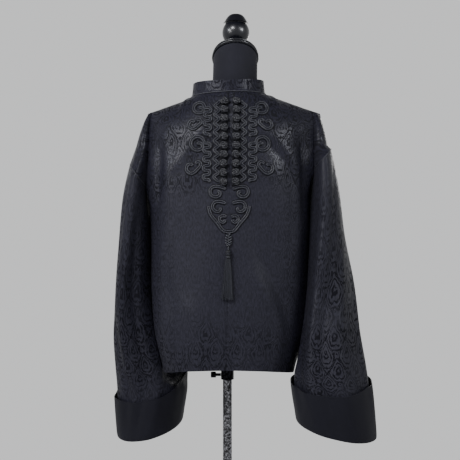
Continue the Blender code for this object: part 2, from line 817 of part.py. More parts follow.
def pull_edges(points, normals, faces):
    """Draws a piece's edges in by half a seam's gap, along the surface."""
    inward = {}
    for a, b in open_edges(faces):
        along = (points[b] - points[a]).normalized()
        for i in (a, b):
            inward.setdefault(i, []).append(normals[i].cross(along).normalized())
    for i, directions in inward.items():
        mean = sum(directions, Vector()).normalized()
        widest = max(0.5, min(mean.dot(d) for d in directions))
        points[i] += mean * SEAM_GAP * 0.55 / widest


def build_cloth():
    cloth = Cloth()
    for side in (LEFT, RIGHT):
        for face in (BACK, FRONT):
            add_panel(cloth, side, face)
        add_sleeve(cloth, side)
    orient(cloth)
    normals = point_normals(cloth)
    cloth.points = [p + n * fold for p, n, fold in zip(cloth.points, normals, cloth.folds)]
    normals = point_normals(cloth)
    pieces = dict.fromkeys(piece for piece, _ in cloth.faces)
    for piece in pieces:
        faces = [corners for name, corners in cloth.faces if name == piece]
        wall(piece, cloth.points, normals, faces, CLOTH, jacquard())
    return cloth, normals


def grid_wall(name, rows, thick, look, closed):
    """A wall from rows of points; closed joins each row's ends."""
    points, faces, width = [p for row in rows for p in row], [], len(rows[0])
    for r in range(len(rows) - 1):
        for c in range(width if closed else width - 1):
            d = (c + 1) % width
            faces.append([r * width + c, r * width + d, (r + 1) * width + d, (r + 1) * width + c])
    normals = [Vector() for _ in points]
    for corners in faces:
        normal = polygon_normal([points[i] for i in corners])
        for i in corners:
            normals[i] += normal
    normals = [n.normalized() for n in normals]
    middle = sum(points, Vector()) / len(points)
    first = rows[0][0]
    if normals[0].dot(first - middle) < 0:
        normals = [-n for n in normals]
        faces = [corners[::-1] for corners in faces]
    return wall(name, points, normals, faces, thick, look)


def build_cuff(cloth, normals, side):
    """A cuff turned up over the sleeve's end, its top edge standing free."""
    name = "left" if side == LEFT else "right"
    columns = []
    mean, outside, behind = CUFF_HEIGHT[side]
    for i, angle in enumerate(ring_angles(side, 1.0)):
        line = [cloth.index[("sleeve_" + name, row, i)] for row in range(SLEEVE_ROWS, 0, -1)]
        high = mean + outside * math.cos(angle) + behind * math.sin(angle)
        columns.append([up_line(cloth, normals, line, up * high - below, off)
                        for up, below, off in CUFF_PATH])
    rows = [list(row) for row in zip(*columns)]
    return grid_wall("cuff_" + name, rows, CUFF_CLOTH, cuff_cloth(), True)


def up_line(cloth, normals, line, up, off):
    """A point at a distance up a line of the sleeve from its lower end, moved off the sleeve."""
    walked = 0
    for a, b in zip(line, line[1:]):
        step = cloth.points[b] - cloth.points[a]
        if up <= walked + step.length:
            break
        walked += step.length
    share = (up - walked) / step.length
    normal = normals[a].lerp(normals[b], max(share, 0)).normalized()
    return cloth.points[a] + step * share + normal * off


def build_collar():
    """The stand collar, open at the centre front, its ends rounded off."""
    steps = NECK_COLUMNS
    loop = [(LEFT, FRONT, t / steps) for t in range(steps)]
    loop += [(LEFT, BACK, 1 - t / steps) for t in range(steps)]
    loop += [(RIGHT, BACK, t / steps) for t in range(steps)]
    loop += [(RIGHT, FRONT, 1 - t / steps) for t in range(steps + 1)]
    rows = []
    for level in (1.0, 0.72, 0.36, 0.0):
        row = []
        for side, face, turn in loop:
            row.append(collar_point(side, face, turn, level))
        rows.append(row)
    return grid_wall("collar", rows, COLLAR_CLOTH, jacquard(), False)


def collar_point(side, face, turn, level):
    base = neckline(side, face, turn)
    height = lerp(COLLAR_HEIGHT, COLLAR_SIDE_HEIGHT, min(turn * 1.5, 1)) if face == BACK else COLLAR_SIDE_HEIGHT
    if face == FRONT and turn == 0:
        height *= 0.8
        base.x += side * COLLAR_OPENING / 2
    inward = Vector((NECK_X - base.x, -base.y, 0)).normalized() * COLLAR_LEAN_IN * level
    return base + inward + Vector((0, 0, LAID_GAP + height * level))


# ---------------------------------------------------------------- trim laid on the cloth
class Laid:
    """Finds points on the outer side of the fronts or the backs, as seen along Y."""

    def __init__(self, cloth, face):
        self.face = face
        piece = "back" if face == BACK else "front"
        corners = [c for name, c in cloth.faces if name.startswith(piece)]
        self.tree = BVHTree.FromPolygons(cloth.points, corners)

    def hit(self, x, z):
        start = Vector((x, self.face, z))
        place, normal, _, _ = self.tree.ray_cast(start, Vector((0, -self.face, 0)))
        return place, normal if normal.y * self.face > 0 else -normal

    def off(self, x, z, away):
        """The point at (x, z) moved out along the cloth's smoothed normal."""
        place, _ = self.hit(x, z)
        around = [self.hit(x, z + step)[1] for step in (-BAND_WIDE, 0, BAND_WIDE)]
        return place + sum(around, Vector()).normalized() * away


def walk(start, height, heading, arcs):
    """Points of a curve made of arcs, each a length and a turn."""
    x, z, heading = start, height, math.radians(heading)
    points = [(x, z)]
    for length, turn in arcs:
        count = max(1, round(length / BAND_STEP))
        for _ in range(count):
            heading += math.radians(turn) / count / 2
            x += length / count * math.cos(heading)
            z += length / count * math.sin(heading)
            heading += math.radians(turn) / count / 2
            points.append((x, z))
    return points


def wave(middle, half, bottom, top, level):
    """Points of a wave that bends round the knots, from its bottom up; its limbs can run level."""
    count = round((top - bottom) / KNOT_PITCH * (8 if level else 4))
    points = []
    for i in range(count + 1):
        z = lerp(bottom, top, i / count)
        turn = 2 * math.pi * (KNOT_TOP - z) / KNOT_PITCH
        points.append((middle - half * math.cos(turn), z - level * math.sin(2 * turn)))
    return points


def across(path, i):
    """Unit vector across a path at a point, lengthened a little at a sharp bend."""
    before, here, after = (Vector(path[k]) for k in (max(i - 1, 0), i, min(i + 1, len(path) - 1)))
    along = (after - before).normalized()
    bend = (after - here if i == 0 else here - before).normalized()
    return Vector((-along.y, along.x)) / max(0.7, along.dot(bend))


def build_band(laid, name, path):
    """A flat band of cords along a path on the cloth."""
    rings = []
    for i, (x, z) in enumerate(path):
        side = across(path, i) * BAND_WIDE / 2
        ring = []
        for share, away in ((-1, 0), (1, 0), (BAND_CROWN, BAND_THICK), (-BAND_CROWN, BAND_THICK)):
            ring.append(laid.off(x + side.x * share, z + side.y * share, LAID_GAP + away))
        rings.append(ring)
    return stacked(name, rings, cord_cloth())


def mirrored(path, side):
    """A path given out from the seam, put on one side of it."""
    return [(seam_x(z) + side * out, z) for out, z in path]


def band_paths():
    """Each band's path, out from the seam and up."""
    paths = {name: wave(*values) for name, values in WAVES.items()}
    for name, values in SCROLLS.items():
        paths[name] = paths.get(name, []) + walk(*values)
    return paths


def build_cords(laid):
    for side, hand in ((LEFT, "left"), (RIGHT, "right")):
        for name, path in band_paths().items():
            build_band(laid, "cord_%s_%s" % (name, hand), mirrored(path, side))
    half = walk(*VEE)
    build_band(laid, "cord_vee", mirrored(half, LEFT) + mirrored(half[::-1], RIGHT))


def build_knots(laid):
    for side, hand in ((LEFT, "left"), (RIGHT, "right")):
        for row in range(KNOT_ROWS):
            z = KNOT_TOP - row * KNOT_PITCH
            deep = KNOT_BALL_R * KNOT_FLAT
            middle = laid.off(seam_x(z) + side * KNOT_OUT, z, LAID_GAP + deep)
            _, out = laid.hit(middle.x, z)
            ball("knot_%s_%02d" % (hand, row + 1), middle, out, KNOT_BALL_R, deep)


def ball(name, middle, out, radius, deep, count=8, bands=5):
    """A flattened ball, its axis along out."""
    across_out = Vector((1, 0, 0))
    across_out = (across_out - out * across_out.dot(out)).normalized()
    third = out.cross(across_out)
    points = [middle - out * deep]
    for band in range(1, bands):
        lift = -math.cos(math.pi * band / bands)
        wide = math.sqrt(1 - lift * lift)
        for i in range(count):
            turn = 2 * math.pi * i / count
            arm = across_out * math.cos(turn) + third * math.sin(turn)
            points.append(middle + out * deep * lift + arm * radius * wide)
    points.append(middle + out * deep)
    faces = []
    for i in range(count):
        j = (i + 1) % count
        faces.append([0, 1 + j, 1 + i])
        for band in range(bands - 2):
            low = 1 + band * count
            faces.append([low + i, low + j, low + count + j, low + count + i])
        last = 1 + (bands - 2) * count
        faces.append([last + i, last + j, len(points) - 1])
    return make(name, points, faces, cord_cloth(), 60)


def build_braid(laid):
    """The twisted cords between the scrolls and the tassel."""
    rings = []
    for z, half in BRAID:
        x = seam_x(z)
        rings.append([laid.off(x - half, z, LAID_GAP), laid.off(x + half, z, LAID_GAP),
                      laid.off(x + half * BAND_CROWN, z, LAID_GAP + BRAID_THICK * 0.7),
                      laid.off(x, z, LAID_GAP + BRAID_THICK),
                      laid.off(x - half * BAND_CROWN, z, LAID_GAP + BRAID_THICK * 0.7)])
    return stacked("cord_braid", rings, cord_cloth())


def build_tassel(laid):
    """A head whose lower end is divided into cells, with a strand drawn down from each cell."""
    chance = random.Random(7)
    points, faces = [], []
    for z, half in TASSEL_HEAD[:-1]:
        middle = laid.off(seam_x(z), z, LAID_GAP + half)
        for i in range(TASSEL_SIDES):
            turn = 2 * math.pi * i / TASSEL_SIDES
            points.append(middle + Vector((half * math.cos(turn), half * math.sin(turn), 0)))
    faces.append(list(range(TASSEL_SIDES)))
    for ring in range(len(TASSEL_HEAD) - 2):
        for i in range(TASSEL_SIDES):
            j = (i + 1) % TASSEL_SIDES
            low = ring * TASSEL_SIDES
            faces.append([low + i, low + j, low + TASSEL_SIDES + j, low + TASSEL_SIDES + i])
    # the cells at the head's lower end, a grid whose rim joins the last ring
    z, half = TASSEL_HEAD[-1]
    grid = tassel_grid(laid, z, half, STRAND_DEPTH[0])
    first = len(points)
    points += [p for row in grid for p in row]
    wide = STRAND_COLUMNS + 1

    def at(row, column):
        return first + row * wide + column

    faces += join_rim(points, (len(TASSEL_HEAD) - 2) * TASSEL_SIDES, rim_loop(at))
    for row in range(STRAND_ROWS):
        for column in range(STRAND_COLUMNS):
            cell = [at(row, column), at(row, column + 1), at(row + 1, column + 1), at(row + 1, column)]
            middle = sum((points[i] for i in cell), Vector()) / 4
            upper = [middle + (points[i] - middle) * STRAND_SIZE for i in cell]
            rings = [cell, range(len(points), len(points) + 4)]
            points += upper
            for height, spread, depth in zip(STRAND_ROWS_Z, STRAND_SPREAD, STRAND_DEPTH):
                height += chance.uniform(-1, 1) * STRAND_UNEVEN * (height == STRAND_ROWS_Z[-1])
                corners = tassel_cell(laid, height, spread, depth, row, column)
                rings.append(range(len(points), len(points) + 4))
                points += corners
            for above, below in zip(rings, rings[1:]):
                for i in range(4):
                    j = (i + 1) % 4
                    faces.append([above[i], above[j], below[j], below[i]])
            faces.append(list(rings[-1]))
    return make("tassel", points, faces, cord_cloth())


def tassel_grid(laid, z, half, depth):
    """Points of the skirt's section at a height, a grid lying against the cloth."""
    x = seam_x(z)
    rows = []
    for row in range(STRAND_ROWS + 1):
        away = LAID_GAP + 0.0008 + depth * 2 * row / STRAND_ROWS
        narrow = 1 - 0.25 * row / STRAND_ROWS
        rows.append([laid.off(x + half * narrow * (2 * column / STRAND_COLUMNS - 1), z, 0)
                     + Vector((0, BACK * away, 0)) for column in range(STRAND_COLUMNS + 1)])
    return rows


def tassel_cell(laid, z, half, depth, row, column):
    grid = tassel_grid(laid, z, half, depth)
    cell = [grid[row][column], grid[row][column + 1], grid[row + 1][column + 1], grid[row + 1][column]]
    middle = sum(cell, Vector()) / 4
    return [middle + (p - middle) * STRAND_SIZE for p in cell]


def rim_loop(at):
    """The grid's outer points in order round it."""
    loop = [at(0, column) for column in range(STRAND_COLUMNS)]
    loop += [at(row, STRAND_COLUMNS) for row in range(STRAND_ROWS)]
    loop += [at(STRAND_ROWS, column) for column in range(STRAND_COLUMNS, 0, -1)]
    return loop + [at(row, 0) for row in range(STRAND_ROWS, 0, -1)]


def join_rim(points, ring, loop):
    """Triangles between the head's last ring and the grid's outer points."""
    middle = sum((points[i] for i in loop), Vector()) / len(loop)

    def turn(i):
        return math.atan2(points[i].y - middle.y, points[i].x - middle.x) % (2 * math.pi)

    inner = sorted(range(ring, ring + TASSEL_SIDES), key=turn)
    outer = sorted(loop, key=turn)
    faces, i, j = [], 0, 0
    while i < len(inner) or j < len(outer):
        a, b = inner[i % len(inner)], outer[j % len(outer)]
        next_a = turn(inner[i + 1]) if i + 1 < len(inner) else 2 * math.pi + turn(inner[0])
        next_b = turn(outer[j + 1]) if j + 1 < len(outer) else 2 * math.pi + turn(outer[0])
        if j >= len(outer) or (i < len(inner) and next_a <= next_b):
            faces.append([a, inner[(i + 1) % len(inner)], b])
            i += 1
        else:
            faces.append([a, outer[(j + 1) % len(outer)], b])
            j += 1
    return faces


def build_frogs(laid):
    """Corded frog fastenings, each a strip with a knot at its middle and a lobe at each end."""
    for number in range(FROG_ROWS):
        z = FROG_TOP - number * FROG_PITCH
        rings = []
        for out, half, thick in [(-row[0], row[1], row[2]) for row in FROG[:0:-1]] + list(FROG):
            x = seam_x(z) + out
            rings.append([laid.off(x, z - half, LAID_GAP), laid.off(x, z + half, LAID_GAP),
                          laid.off(x, z + half * 0.7, LAID_GAP + thick),
                          laid.off(x, z - half * 0.7, LAID_GAP + thick)])
        stacked("frog_%d" % (number + 1), rings, cord_cloth())


# ---------------------------------------------------------------- dress form and stand
def form_x(z):
    return FORM_OFFSET + FORM_LEAN * (z - 0.684)


def oval(middle, wide, back, front, z, count, power=2.2):
    ring = []
    for i in range(count):
        angle = 2 * math.pi * i / count
        c, s = math.cos(angle), math.sin(angle)
        deep = back if s < 0 else front
        x = wide * math.copysign(abs(c) ** (2 / power), c)
        y = deep * math.copysign(abs(s) ** (2 / power), s)
        ring.append(Vector((middle + x, y, z)))
    return ring


def build_form():
    """Torso and neck in one closed form, the neck cut off at a slant."""
    count = 24
    rings = [oval(form_x(z), wide, back, front, z, count) for z, wide, back, front in FORM]
    under = (CLOTH + FORM_CLEAR) * math.hypot(1, SHOULDER_RISE)
    for wide, back, front in FORM_SHOULDERS:
        z = SHOULDER_Z + (SHOULDER_HALF - wide) * SHOULDER_RISE - under
        rings.append(oval(SHOULDER_X, wide, back, front, z, count, 2.0))
    rings += [oval(form_x(z), wide, back, front, z, count, 2.0) for z, wide, back, front in NECK_RINGS]
    top = oval(form_x(NECK_TOP), NECK_WIDE, NECK_DEEP, NECK_DEEP, NECK_TOP, count, 2.0)
    for p in top:
        p.z += NECK_SLANT * p.y
    rings.append(top)
    return stacked("form", rings, form_jersey())


def stacked(name, rings, look, sharp=40):
    """A closed solid from rings stacked on each other, each end a flat cap."""
    count = len(rings[0])
    points = [p for ring in rings for p in ring]
    faces = [list(range(count))]
    for r in range(len(rings) - 1):
        for i in range(count):
            j = (i + 1) % count
            faces.append([r * count + i, r * count + j, (r + 1) * count + j, (r + 1) * count + i])
    faces.append(list(range((len(rings) - 1) * count, len(rings) * count)))
    return make(name, points, faces, look, sharp)


def turned(name, profile, look, x=0.0, count=24, hollow=False, sharp=40):
    """A turned piece from (z, radius) rows; hollow joins the last row to the first."""
    rings = []
    for z, radius in profile:
        rings.append([Vector((x + radius * math.cos(2 * math.pi * i / count),
                              radius * math.sin(2 * math.pi * i / count), z)) for i in range(count)])
    if not hollow:
        return stacked(name, rings, look, sharp)
    points, faces = [p for ring in rings for p in ring], []
    for r in range(len(rings)):
        s = (r + 1) % len(rings)
        for i in range(count):
            j = (i + 1) % count
            faces.append([r * count + i, r * count + j, s * count + j, s * count + i])
    return make(name, points, faces, look, sharp)


def build_neck_cap():
    """A slanted wooden disc that closes the neck, its edge rounded."""
    rings = []
    for up, grow in ((SEAM_GAP, -0.0015), (0.003, 0), (CAP_THICK - 0.003, 0), (CAP_THICK, -0.003)):
        ring = oval(form_x(NECK_TOP), CAP_HALF + grow, CAP_HALF + grow, CAP_HALF + grow,
                    NECK_TOP + up * math.hypot(1, NECK_SLANT), 24, 2.0)
        for p in ring:
            p.z += NECK_SLANT * p.y
        rings.append(ring)
    return stacked("neck_cap", rings, black_wood())


def build_finial():
    """A ball under a domed button on a short stem, whose foot is cut to the cap's slant."""
    foot_z = NECK_TOP + (CAP_THICK + SEAM_GAP * 2) * math.hypot(1, NECK_SLANT)
    profile = [(foot_z, STEM_R + 0.004), (foot_z + 0.012, STEM_R + 0.001)]
    steps = 7
    start, end = math.asin(STEM_R / BALL_R), math.acos((BUTTON_Z - BALL_Z - 0.0015) / BALL_R)
    for i in range(steps + 1):
        angle = math.pi - lerp(start, math.pi - end, i / steps)
        profile.append((BALL_Z + BALL_R * math.cos(angle), BALL_R * math.sin(angle)))
    high = FINIAL_TOP - BUTTON_Z
    profile += [(BUTTON_Z, BUTTON_R), (BUTTON_Z + 0.3 * high, BUTTON_R)]
    profile += [(BUTTON_Z + 0.75 * high, BUTTON_R * 0.8), (FINIAL_TOP, BUTTON_R * 0.35)]
    made = turned("finial", profile, black_wood(), form_x(BALL_Z))
    for vertex in made.data.vertices[:24]:
        vertex.co.z += NECK_SLANT * vertex.co.y
    return made


def build_stand():
    gap = SEAM_GAP
    turned("base", ((0, BASE_R), (BASE_EDGE, BASE_R), (BASE_TOP, BASE_R - 0.03), (BASE_TOP + 0.006, HUB_R + 0.006),
                    (BASE_TOP + 0.010, HUB_R), (HUB_TOP, HUB_R), (HUB_TOP, POLE_R + gap),
                    (BASE_TOP, POLE_R + gap)), steel(), count=32)
    turned("pole", ((BASE_TOP + gap, POLE_R), (FORM_BOTTOM - 0.012, POLE_R)), steel())
    turned("socket", ((SOCKET_BOTTOM, POLE_R + gap), (SOCKET_BOTTOM, SOCKET_R), (FORM_BOTTOM - gap, SOCKET_R),
                      (FORM_BOTTOM - gap, 0.004), (FORM_BOTTOM - 0.010, 0.004), (FORM_BOTTOM - 0.010, POLE_R + gap)),
           steel(), hollow=True)
    screw = turned("thumbscrew", ((0, SHANK_R), (0.012, SHANK_R), (0.0125, KNOB_R), (0.024, KNOB_R)),
                   steel(), count=12)
    start = -SOCKET_R - gap
    for vertex in screw.data.vertices:
        x, y, z = vertex.co
        vertex.co = (start - z, y, KNOB_Z + x)


# ---------------------------------------------------------------- the whole
def main():
    for old in list(bpy.data.objects):
        bpy.data.objects.remove(old)
    cloth, normals = build_cloth()
    for side in (LEFT, RIGHT):
        build_cuff(cloth, normals, side)
    build_collar()
    backs = Laid(cloth, BACK)
    build_cords(backs)
    build_braid(backs)
    build_knots(backs)
    build_tassel(backs)
    build_frogs(Laid(cloth, FRONT))
    build_form()
    build_neck_cap()
    build_finial()
    build_stand()


main()
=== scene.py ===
"""Looks of a tang jacket on a limbless dress form, built round the part's own solids.

Metres, +Z up. The jacket's back faces -Y, its front +Y, and -X is its left side seen from behind.
"""
import json
import random
from math import (acos, asin, copysign, cos, degrees, exp, hypot, pi, radians, sin, sqrt)

import bmesh
import bpy
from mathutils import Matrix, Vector
from mathutils.bvhtree import BVHTree

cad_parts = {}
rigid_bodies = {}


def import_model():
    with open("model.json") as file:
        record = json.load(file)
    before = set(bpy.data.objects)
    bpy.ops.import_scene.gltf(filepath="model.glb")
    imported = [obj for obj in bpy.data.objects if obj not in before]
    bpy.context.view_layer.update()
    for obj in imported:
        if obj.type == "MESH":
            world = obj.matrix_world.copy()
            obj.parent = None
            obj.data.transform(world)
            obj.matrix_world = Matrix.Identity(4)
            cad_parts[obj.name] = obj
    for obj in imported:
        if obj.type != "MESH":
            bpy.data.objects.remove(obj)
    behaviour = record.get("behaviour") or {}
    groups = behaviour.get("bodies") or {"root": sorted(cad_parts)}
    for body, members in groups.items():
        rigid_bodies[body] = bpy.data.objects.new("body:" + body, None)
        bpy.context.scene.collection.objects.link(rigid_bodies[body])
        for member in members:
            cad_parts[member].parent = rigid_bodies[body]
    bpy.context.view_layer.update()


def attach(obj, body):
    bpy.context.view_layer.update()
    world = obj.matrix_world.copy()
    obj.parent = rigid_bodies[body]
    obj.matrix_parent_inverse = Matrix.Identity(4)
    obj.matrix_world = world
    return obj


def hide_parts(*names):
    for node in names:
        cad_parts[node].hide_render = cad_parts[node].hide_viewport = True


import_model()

# ---------------------------------------------------------------- driving dimensions (metres)
CLOTH = 0.002            # wall of the jacquard
CUFF_CLOTH = 0.0018      # wall of the turned cuff
COLLAR_CLOTH = 0.003     # interfaced stand collar
SEAM_GAP = 0.0003        # between two pieces sewn together
LAID_GAP = 0.0009        # under what lies on a panel

LEFT, RIGHT = -1, 1      # sides, as seen from behind
BACK, FRONT = -1, 1      # faces, as signs of Y

# shoulders
SHOULDER_X = 0.016       # middle of the form's shoulders
SHOULDER_HALF = 0.206    # from there to each shoulder tip
SHOULDER_Z = 1.279       # height of the tips
SHOULDER_RISE = 0.33     # rise of the shoulder line per metre towards the neck

# neckline, a slanted loop
NECK_X = 0.003
NECK_HALF = 0.088
NECK_BACK = 0.075
NECK_FRONT = 0.078
NECK_Z = 1.320
NECK_TILT = 0.035        # the right side is higher
NECK_DIP = 0.058         # drop at the centre front

COLLAR_HEIGHT = 0.027    # at the centre back
COLLAR_SIDE_HEIGHT = 0.031
COLLAR_LEAN_IN = 0.003
COLLAR_OPENING = 0.003   # between the collar's ends at the centre front

YOKE_Z = 1.200           # below this the body is described by level sections
HEM_Z = 0.664
HEM_BACK_LIFT = 0.020    # the back hem is higher in the middle
CORNER = 2.5             # exponent of the body's rounded section

# the body's sections: height, half-widths left and right of the seam, depths to back and front
BODY = (
    # z,     left,  right, back,  front
    (1.200, 0.193, 0.193, 0.114, 0.100),
    (1.140, 0.193, 0.193, 0.121, 0.118),
    (1.060, 0.190, 0.194, 0.126, 0.130),
    (0.960, 0.184, 0.194, 0.129, 0.132),
    (0.860, 0.182, 0.195, 0.131, 0.133),
    (0.760, 0.173, 0.186, 0.132, 0.134),
    (0.660, 0.150, 0.160, 0.131, 0.135),
)

# dropped armhole: where the seam crosses the over-arm line, and how steeply it falls inwards
ARMHOLE = {
    # side: over-arm x, over-arm z, fall per metre inwards, half-depth
    LEFT: (-0.231, 1.158, 1.36, 0.095),
    RIGHT: (0.247, 1.194, 1.10, 0.095),
}
YOKE_ARM = {
    # side: outermost x at the yoke, half-width, half-depth of the arm's round there
    LEFT: (-0.217, 0.020, 0.060),
    RIGHT: (0.240, 0.023, 0.062),
}
YOKE_CREASE_ANGLE = radians(130)    # where the crease meets the arm's round at the yoke
SEAM_CREASE_ANGLE = radians(145)    # and at the armhole seam

# sleeve rings from the second one down: middle, half-width, half-depth, turn about the arm,
# rise per metre inwards and rise per metre towards the front
SLEEVE = {
    LEFT: (
        # x,      y,     z,     wide,  deep,  turn, inward, forward
        (-0.2125, 0.008, 1.050, 0.034, 0.098, 6, -0.70, 0.03),
        (-0.2105, 0.022, 0.955, 0.040, 0.101, 15, -0.30, 0.07),
        (-0.2080, 0.045, 0.855, 0.046, 0.101, 25, -0.05, 0.12),
        (-0.2010, 0.068, 0.760, 0.060, 0.098, 30, 0.05, 0.16),
        (-0.1920, 0.085, 0.685, 0.076, 0.092, 30, 0.12, 0.20),
        (-0.1880, 0.092, 0.611, 0.082, 0.084, 30, 0.16, 0.20),
        (-0.1930, 0.096, 0.515, 0.078, 0.082, 30, 0.22, 0.20),
    ),
    RIGHT: (
        (0.2310, -0.005, 1.075, 0.036, 0.098, -4, -0.60, 0.02),
        (0.2370, -0.015, 0.965, 0.043, 0.101, -12, -0.30, 0.05),
        (0.2430, -0.028, 0.865, 0.052, 0.101, -20, -0.05, 0.10),
        (0.2430, -0.052, 0.768, 0.063, 0.098, -26, 0.06, 0.15),
        (0.2420, -0.073, 0.695, 0.077, 0.092, -28, 0.12, 0.18),
        (0.2400, -0.084, 0.640, 0.087, 0.086, -28, 0.14, 0.16),
        (0.2490, -0.085, 0.553, 0.090, 0.085, -28, 0.18, 0.12),
    ),
}
SLEEVE_CLEAR = 0.0008    # a sleeve hangs this far off the body
UNDERARM_CLEAR = 0.012   # more just under the arm, where the body's side bulges to the armhole
CUFF_CLEAR = 0.004       # more where the cuff stands off the sleeve
UNDERARM_FADE = 6.5      # the bulge fades within this share, one part in so many, of the side

# the turned cuff as a path over the sleeve's end: share of its height, below the end, off the sleeve
CUFF_PATH = (
    # up,   below,  off
    (1.00, 0.0000, 0.0080),
    (0.60, 0.0000, 0.0060),
    (0.24, 0.0000, 0.0040),
    (0.00, 0.0030, 0.0026),
    (0.00, 0.0068, -0.0010),
    (0.00, 0.0030, -0.0046),
    (0.24, 0.0000, -0.0050),
)
CUFF_HEIGHT = {
    # mean height, more on the outside of the arm, more at the back
    LEFT: (0.099, 0.000, -0.007),
    RIGHT: (0.102, 0.012, -0.017),
}

# corded trim on the back: two rows of ball knots, waved and scrolled bands beside and below them
BAND_WIDE = 0.0060
KNOT_ROWS = 10
KNOT_TOP = 1.294
KNOT_PITCH = 0.0206
KNOT_OUT = 0.0139        # from the seam to each row
KNOT_BALL_R = 0.0083
KNOT_FLAT = 0.82         # depth of a knot, as a share of its width
WAVES = {
    # band: middle, half-width of the wave, bottom, top, how far its limbs are drawn level
    "inner": (0.0303, 0.0048, 1.1085, 1.2965, 0.0),
    "top": (0.0515, 0.0075, 1.2116, 1.2837, 0.0020),
    "mid": (0.0515, 0.0075, 1.1086, 1.2013, 0.0020),
}
SCROLLS = {
    # band: start out from the seam, start height, heading in degrees, then arcs of length and turn;
    # a scroll named as a wave carries on from the wave's top
    "top": (0.0605, 1.2880, 50, ((0.014, -60), (0.046, -200), (0.022, -190))),
    "mid": (0.0605, 1.2055, 50, ((0.017, -60), (0.054, -200), (0.026, -190))),
    "top_hook": (0.0765, 1.2475, 110, ((0.020, 205), (0.014, 5), (0.030, 170), (0.014, 120))),
    "mid_hook": (0.0770, 1.1500, 110, ((0.022, 200), (0.017, 5), (0.034, 170), (0.014, 110))),
    "upper_curl": (0.008, 1.092, 30, ((0.024, -30), (0.038, -180), (0.010, -40), (0.014, -150))),
    "lower_curl": (0.008, 1.060, 25, ((0.018, -25), (0.038, -190), (0.012, -120))),
    "tip_curl": (0.006, 1.030, 25, ((0.008, -25), (0.026, -200), (0.007, -90))),
}
VEE = (0.0455, 1.0540, -90, ((0.030, -42), (0.028, 8), (0.014, -30)))
BRAID = (
    # z,     half-width
    (0.9890, 0.0030),
    (0.9850, 0.0085),
    (0.9810, 0.0060),
    (0.9765, 0.0088),
    (0.9720, 0.0060),
    (0.9680, 0.0080),
    (0.9640, 0.0030),
)

# tassel: a bound head and strands that spread on the way down
TASSEL_HEAD = (
    # z,     half-width
    (0.9600, 0.0015),
    (0.9550, 0.0018),
    (0.9530, 0.0050),
    (0.9490, 0.0064),
    (0.9450, 0.0058),
    (0.9425, 0.0044),
    (0.9405, 0.0058),
    (0.9380, 0.0062),
)

# frog fastenings down the front opening
FROG_ROWS = 5
FROG_TOP = 1.236
FROG_PITCH = 0.108

# the largest folds, soft bells across a line: start, end, width and height; a minus is a trough
BODY_FOLDS = {
    BACK: (
        # out,    z,     out,    z,     width, height
        (0.034, 1.061, 0.138, 0.774, 0.070, -0.0050),
        (0.100, 1.160, 0.150, 0.900, 0.060, 0.0022),
        (-0.060, 1.150, -0.150, 0.800, 0.080, -0.0026),
        (0.070, 0.870, 0.060, 0.670, 0.080, 0.0040),
        (-0.080, 0.840, -0.060, 0.670, 0.080, 0.0030),
    ),
    FRONT: (
        (0.050, 1.110, 0.120, 0.840, 0.070, -0.0040),
        (-0.050, 1.090, -0.115, 0.820, 0.070, -0.0036),
        (0.090, 0.880, 0.080, 0.670, 0.080, 0.0034),
        (-0.090, 0.870, -0.075, 0.670, 0.080, 0.0034),
    ),
}
SLEEVE_FOLDS = {
    # along, angle in degrees (the back is 90), the same at the end, width and height
    LEFT: (
        (0.25, 110, 0.95, 100, 0.060, -0.0045),
        (0.40, 35, 0.98, 50, 0.060, 0.0030),
        (0.15, 290, 0.85, 300, 0.060, -0.0045),
    ),
    RIGHT: (
        (0.40, 75, 0.96, 68, 0.060, -0.0055),
        (0.30, 20, 0.97, 35, 0.060, 0.0030),
        (0.15, 290, 0.85, 300, 0.060, -0.0045),
    ),
}
SLEEVE_LONG = 0.62       # along the arm, for the folds
SLEEVE_ROUND = 0.088     # mean radius, for the folds
FOLD_REACH = 0.2         # how far a fold fades past its ends, as a share of its length
FOLD_BOW = 0.05          # how far its line bows, as a share of its length

# how finely the cloth is divided: steps to each step of the solids, then rows and columns
OVER_STEPS = 5
UP_STEPS = 5
SLEEVE_STEPS = 5
ROUND_STEPS = 4
CUFF_STEPS = 5
CUFF_RIPPLE = 0.0012
COLLAR_STEPS = 30
COLLAR_LEVELS = 10
COLLAR_GRAIN = 0.125     # a quarter of the neck, in the cloth's own measure
COLLAR_FOOT = ((-1, 0.0016), (-2, 0.0004))   # how far the lowest rows stand proud
NECK_COLUMNS = 5 * OVER_STEPS
RIDGE_COLUMNS = 5 * OVER_STEPS
ARM_COLUMNS = 8 * ROUND_STEPS
SIDE_COLUMNS = 3 * ROUND_STEPS
CAP_ROWS = 5 * UP_STEPS
ARMHOLE_ROWS = 3 * UP_STEPS
LOWER_ROWS = 7 * UP_STEPS
SLEEVE_ROWS = 12 * SLEEVE_STEPS

CREASE = NECK_COLUMNS + RIDGE_COLUMNS                 # column of the crease beside the arm
OVERARM = CREASE + ARM_COLUMNS                        # column of the over-arm line
ARMHOLE_ROW = CAP_ROWS + ARMHOLE_ROWS                 # row where the crease meets the armhole seam
HEM_ROW = ARMHOLE_ROW + LOWER_ROWS
BODY_EDGE = 0.86                                      # last column before the crease, as a share
COLUMN_SPREAD = 1.45                                  # columns stand closer towards the arm

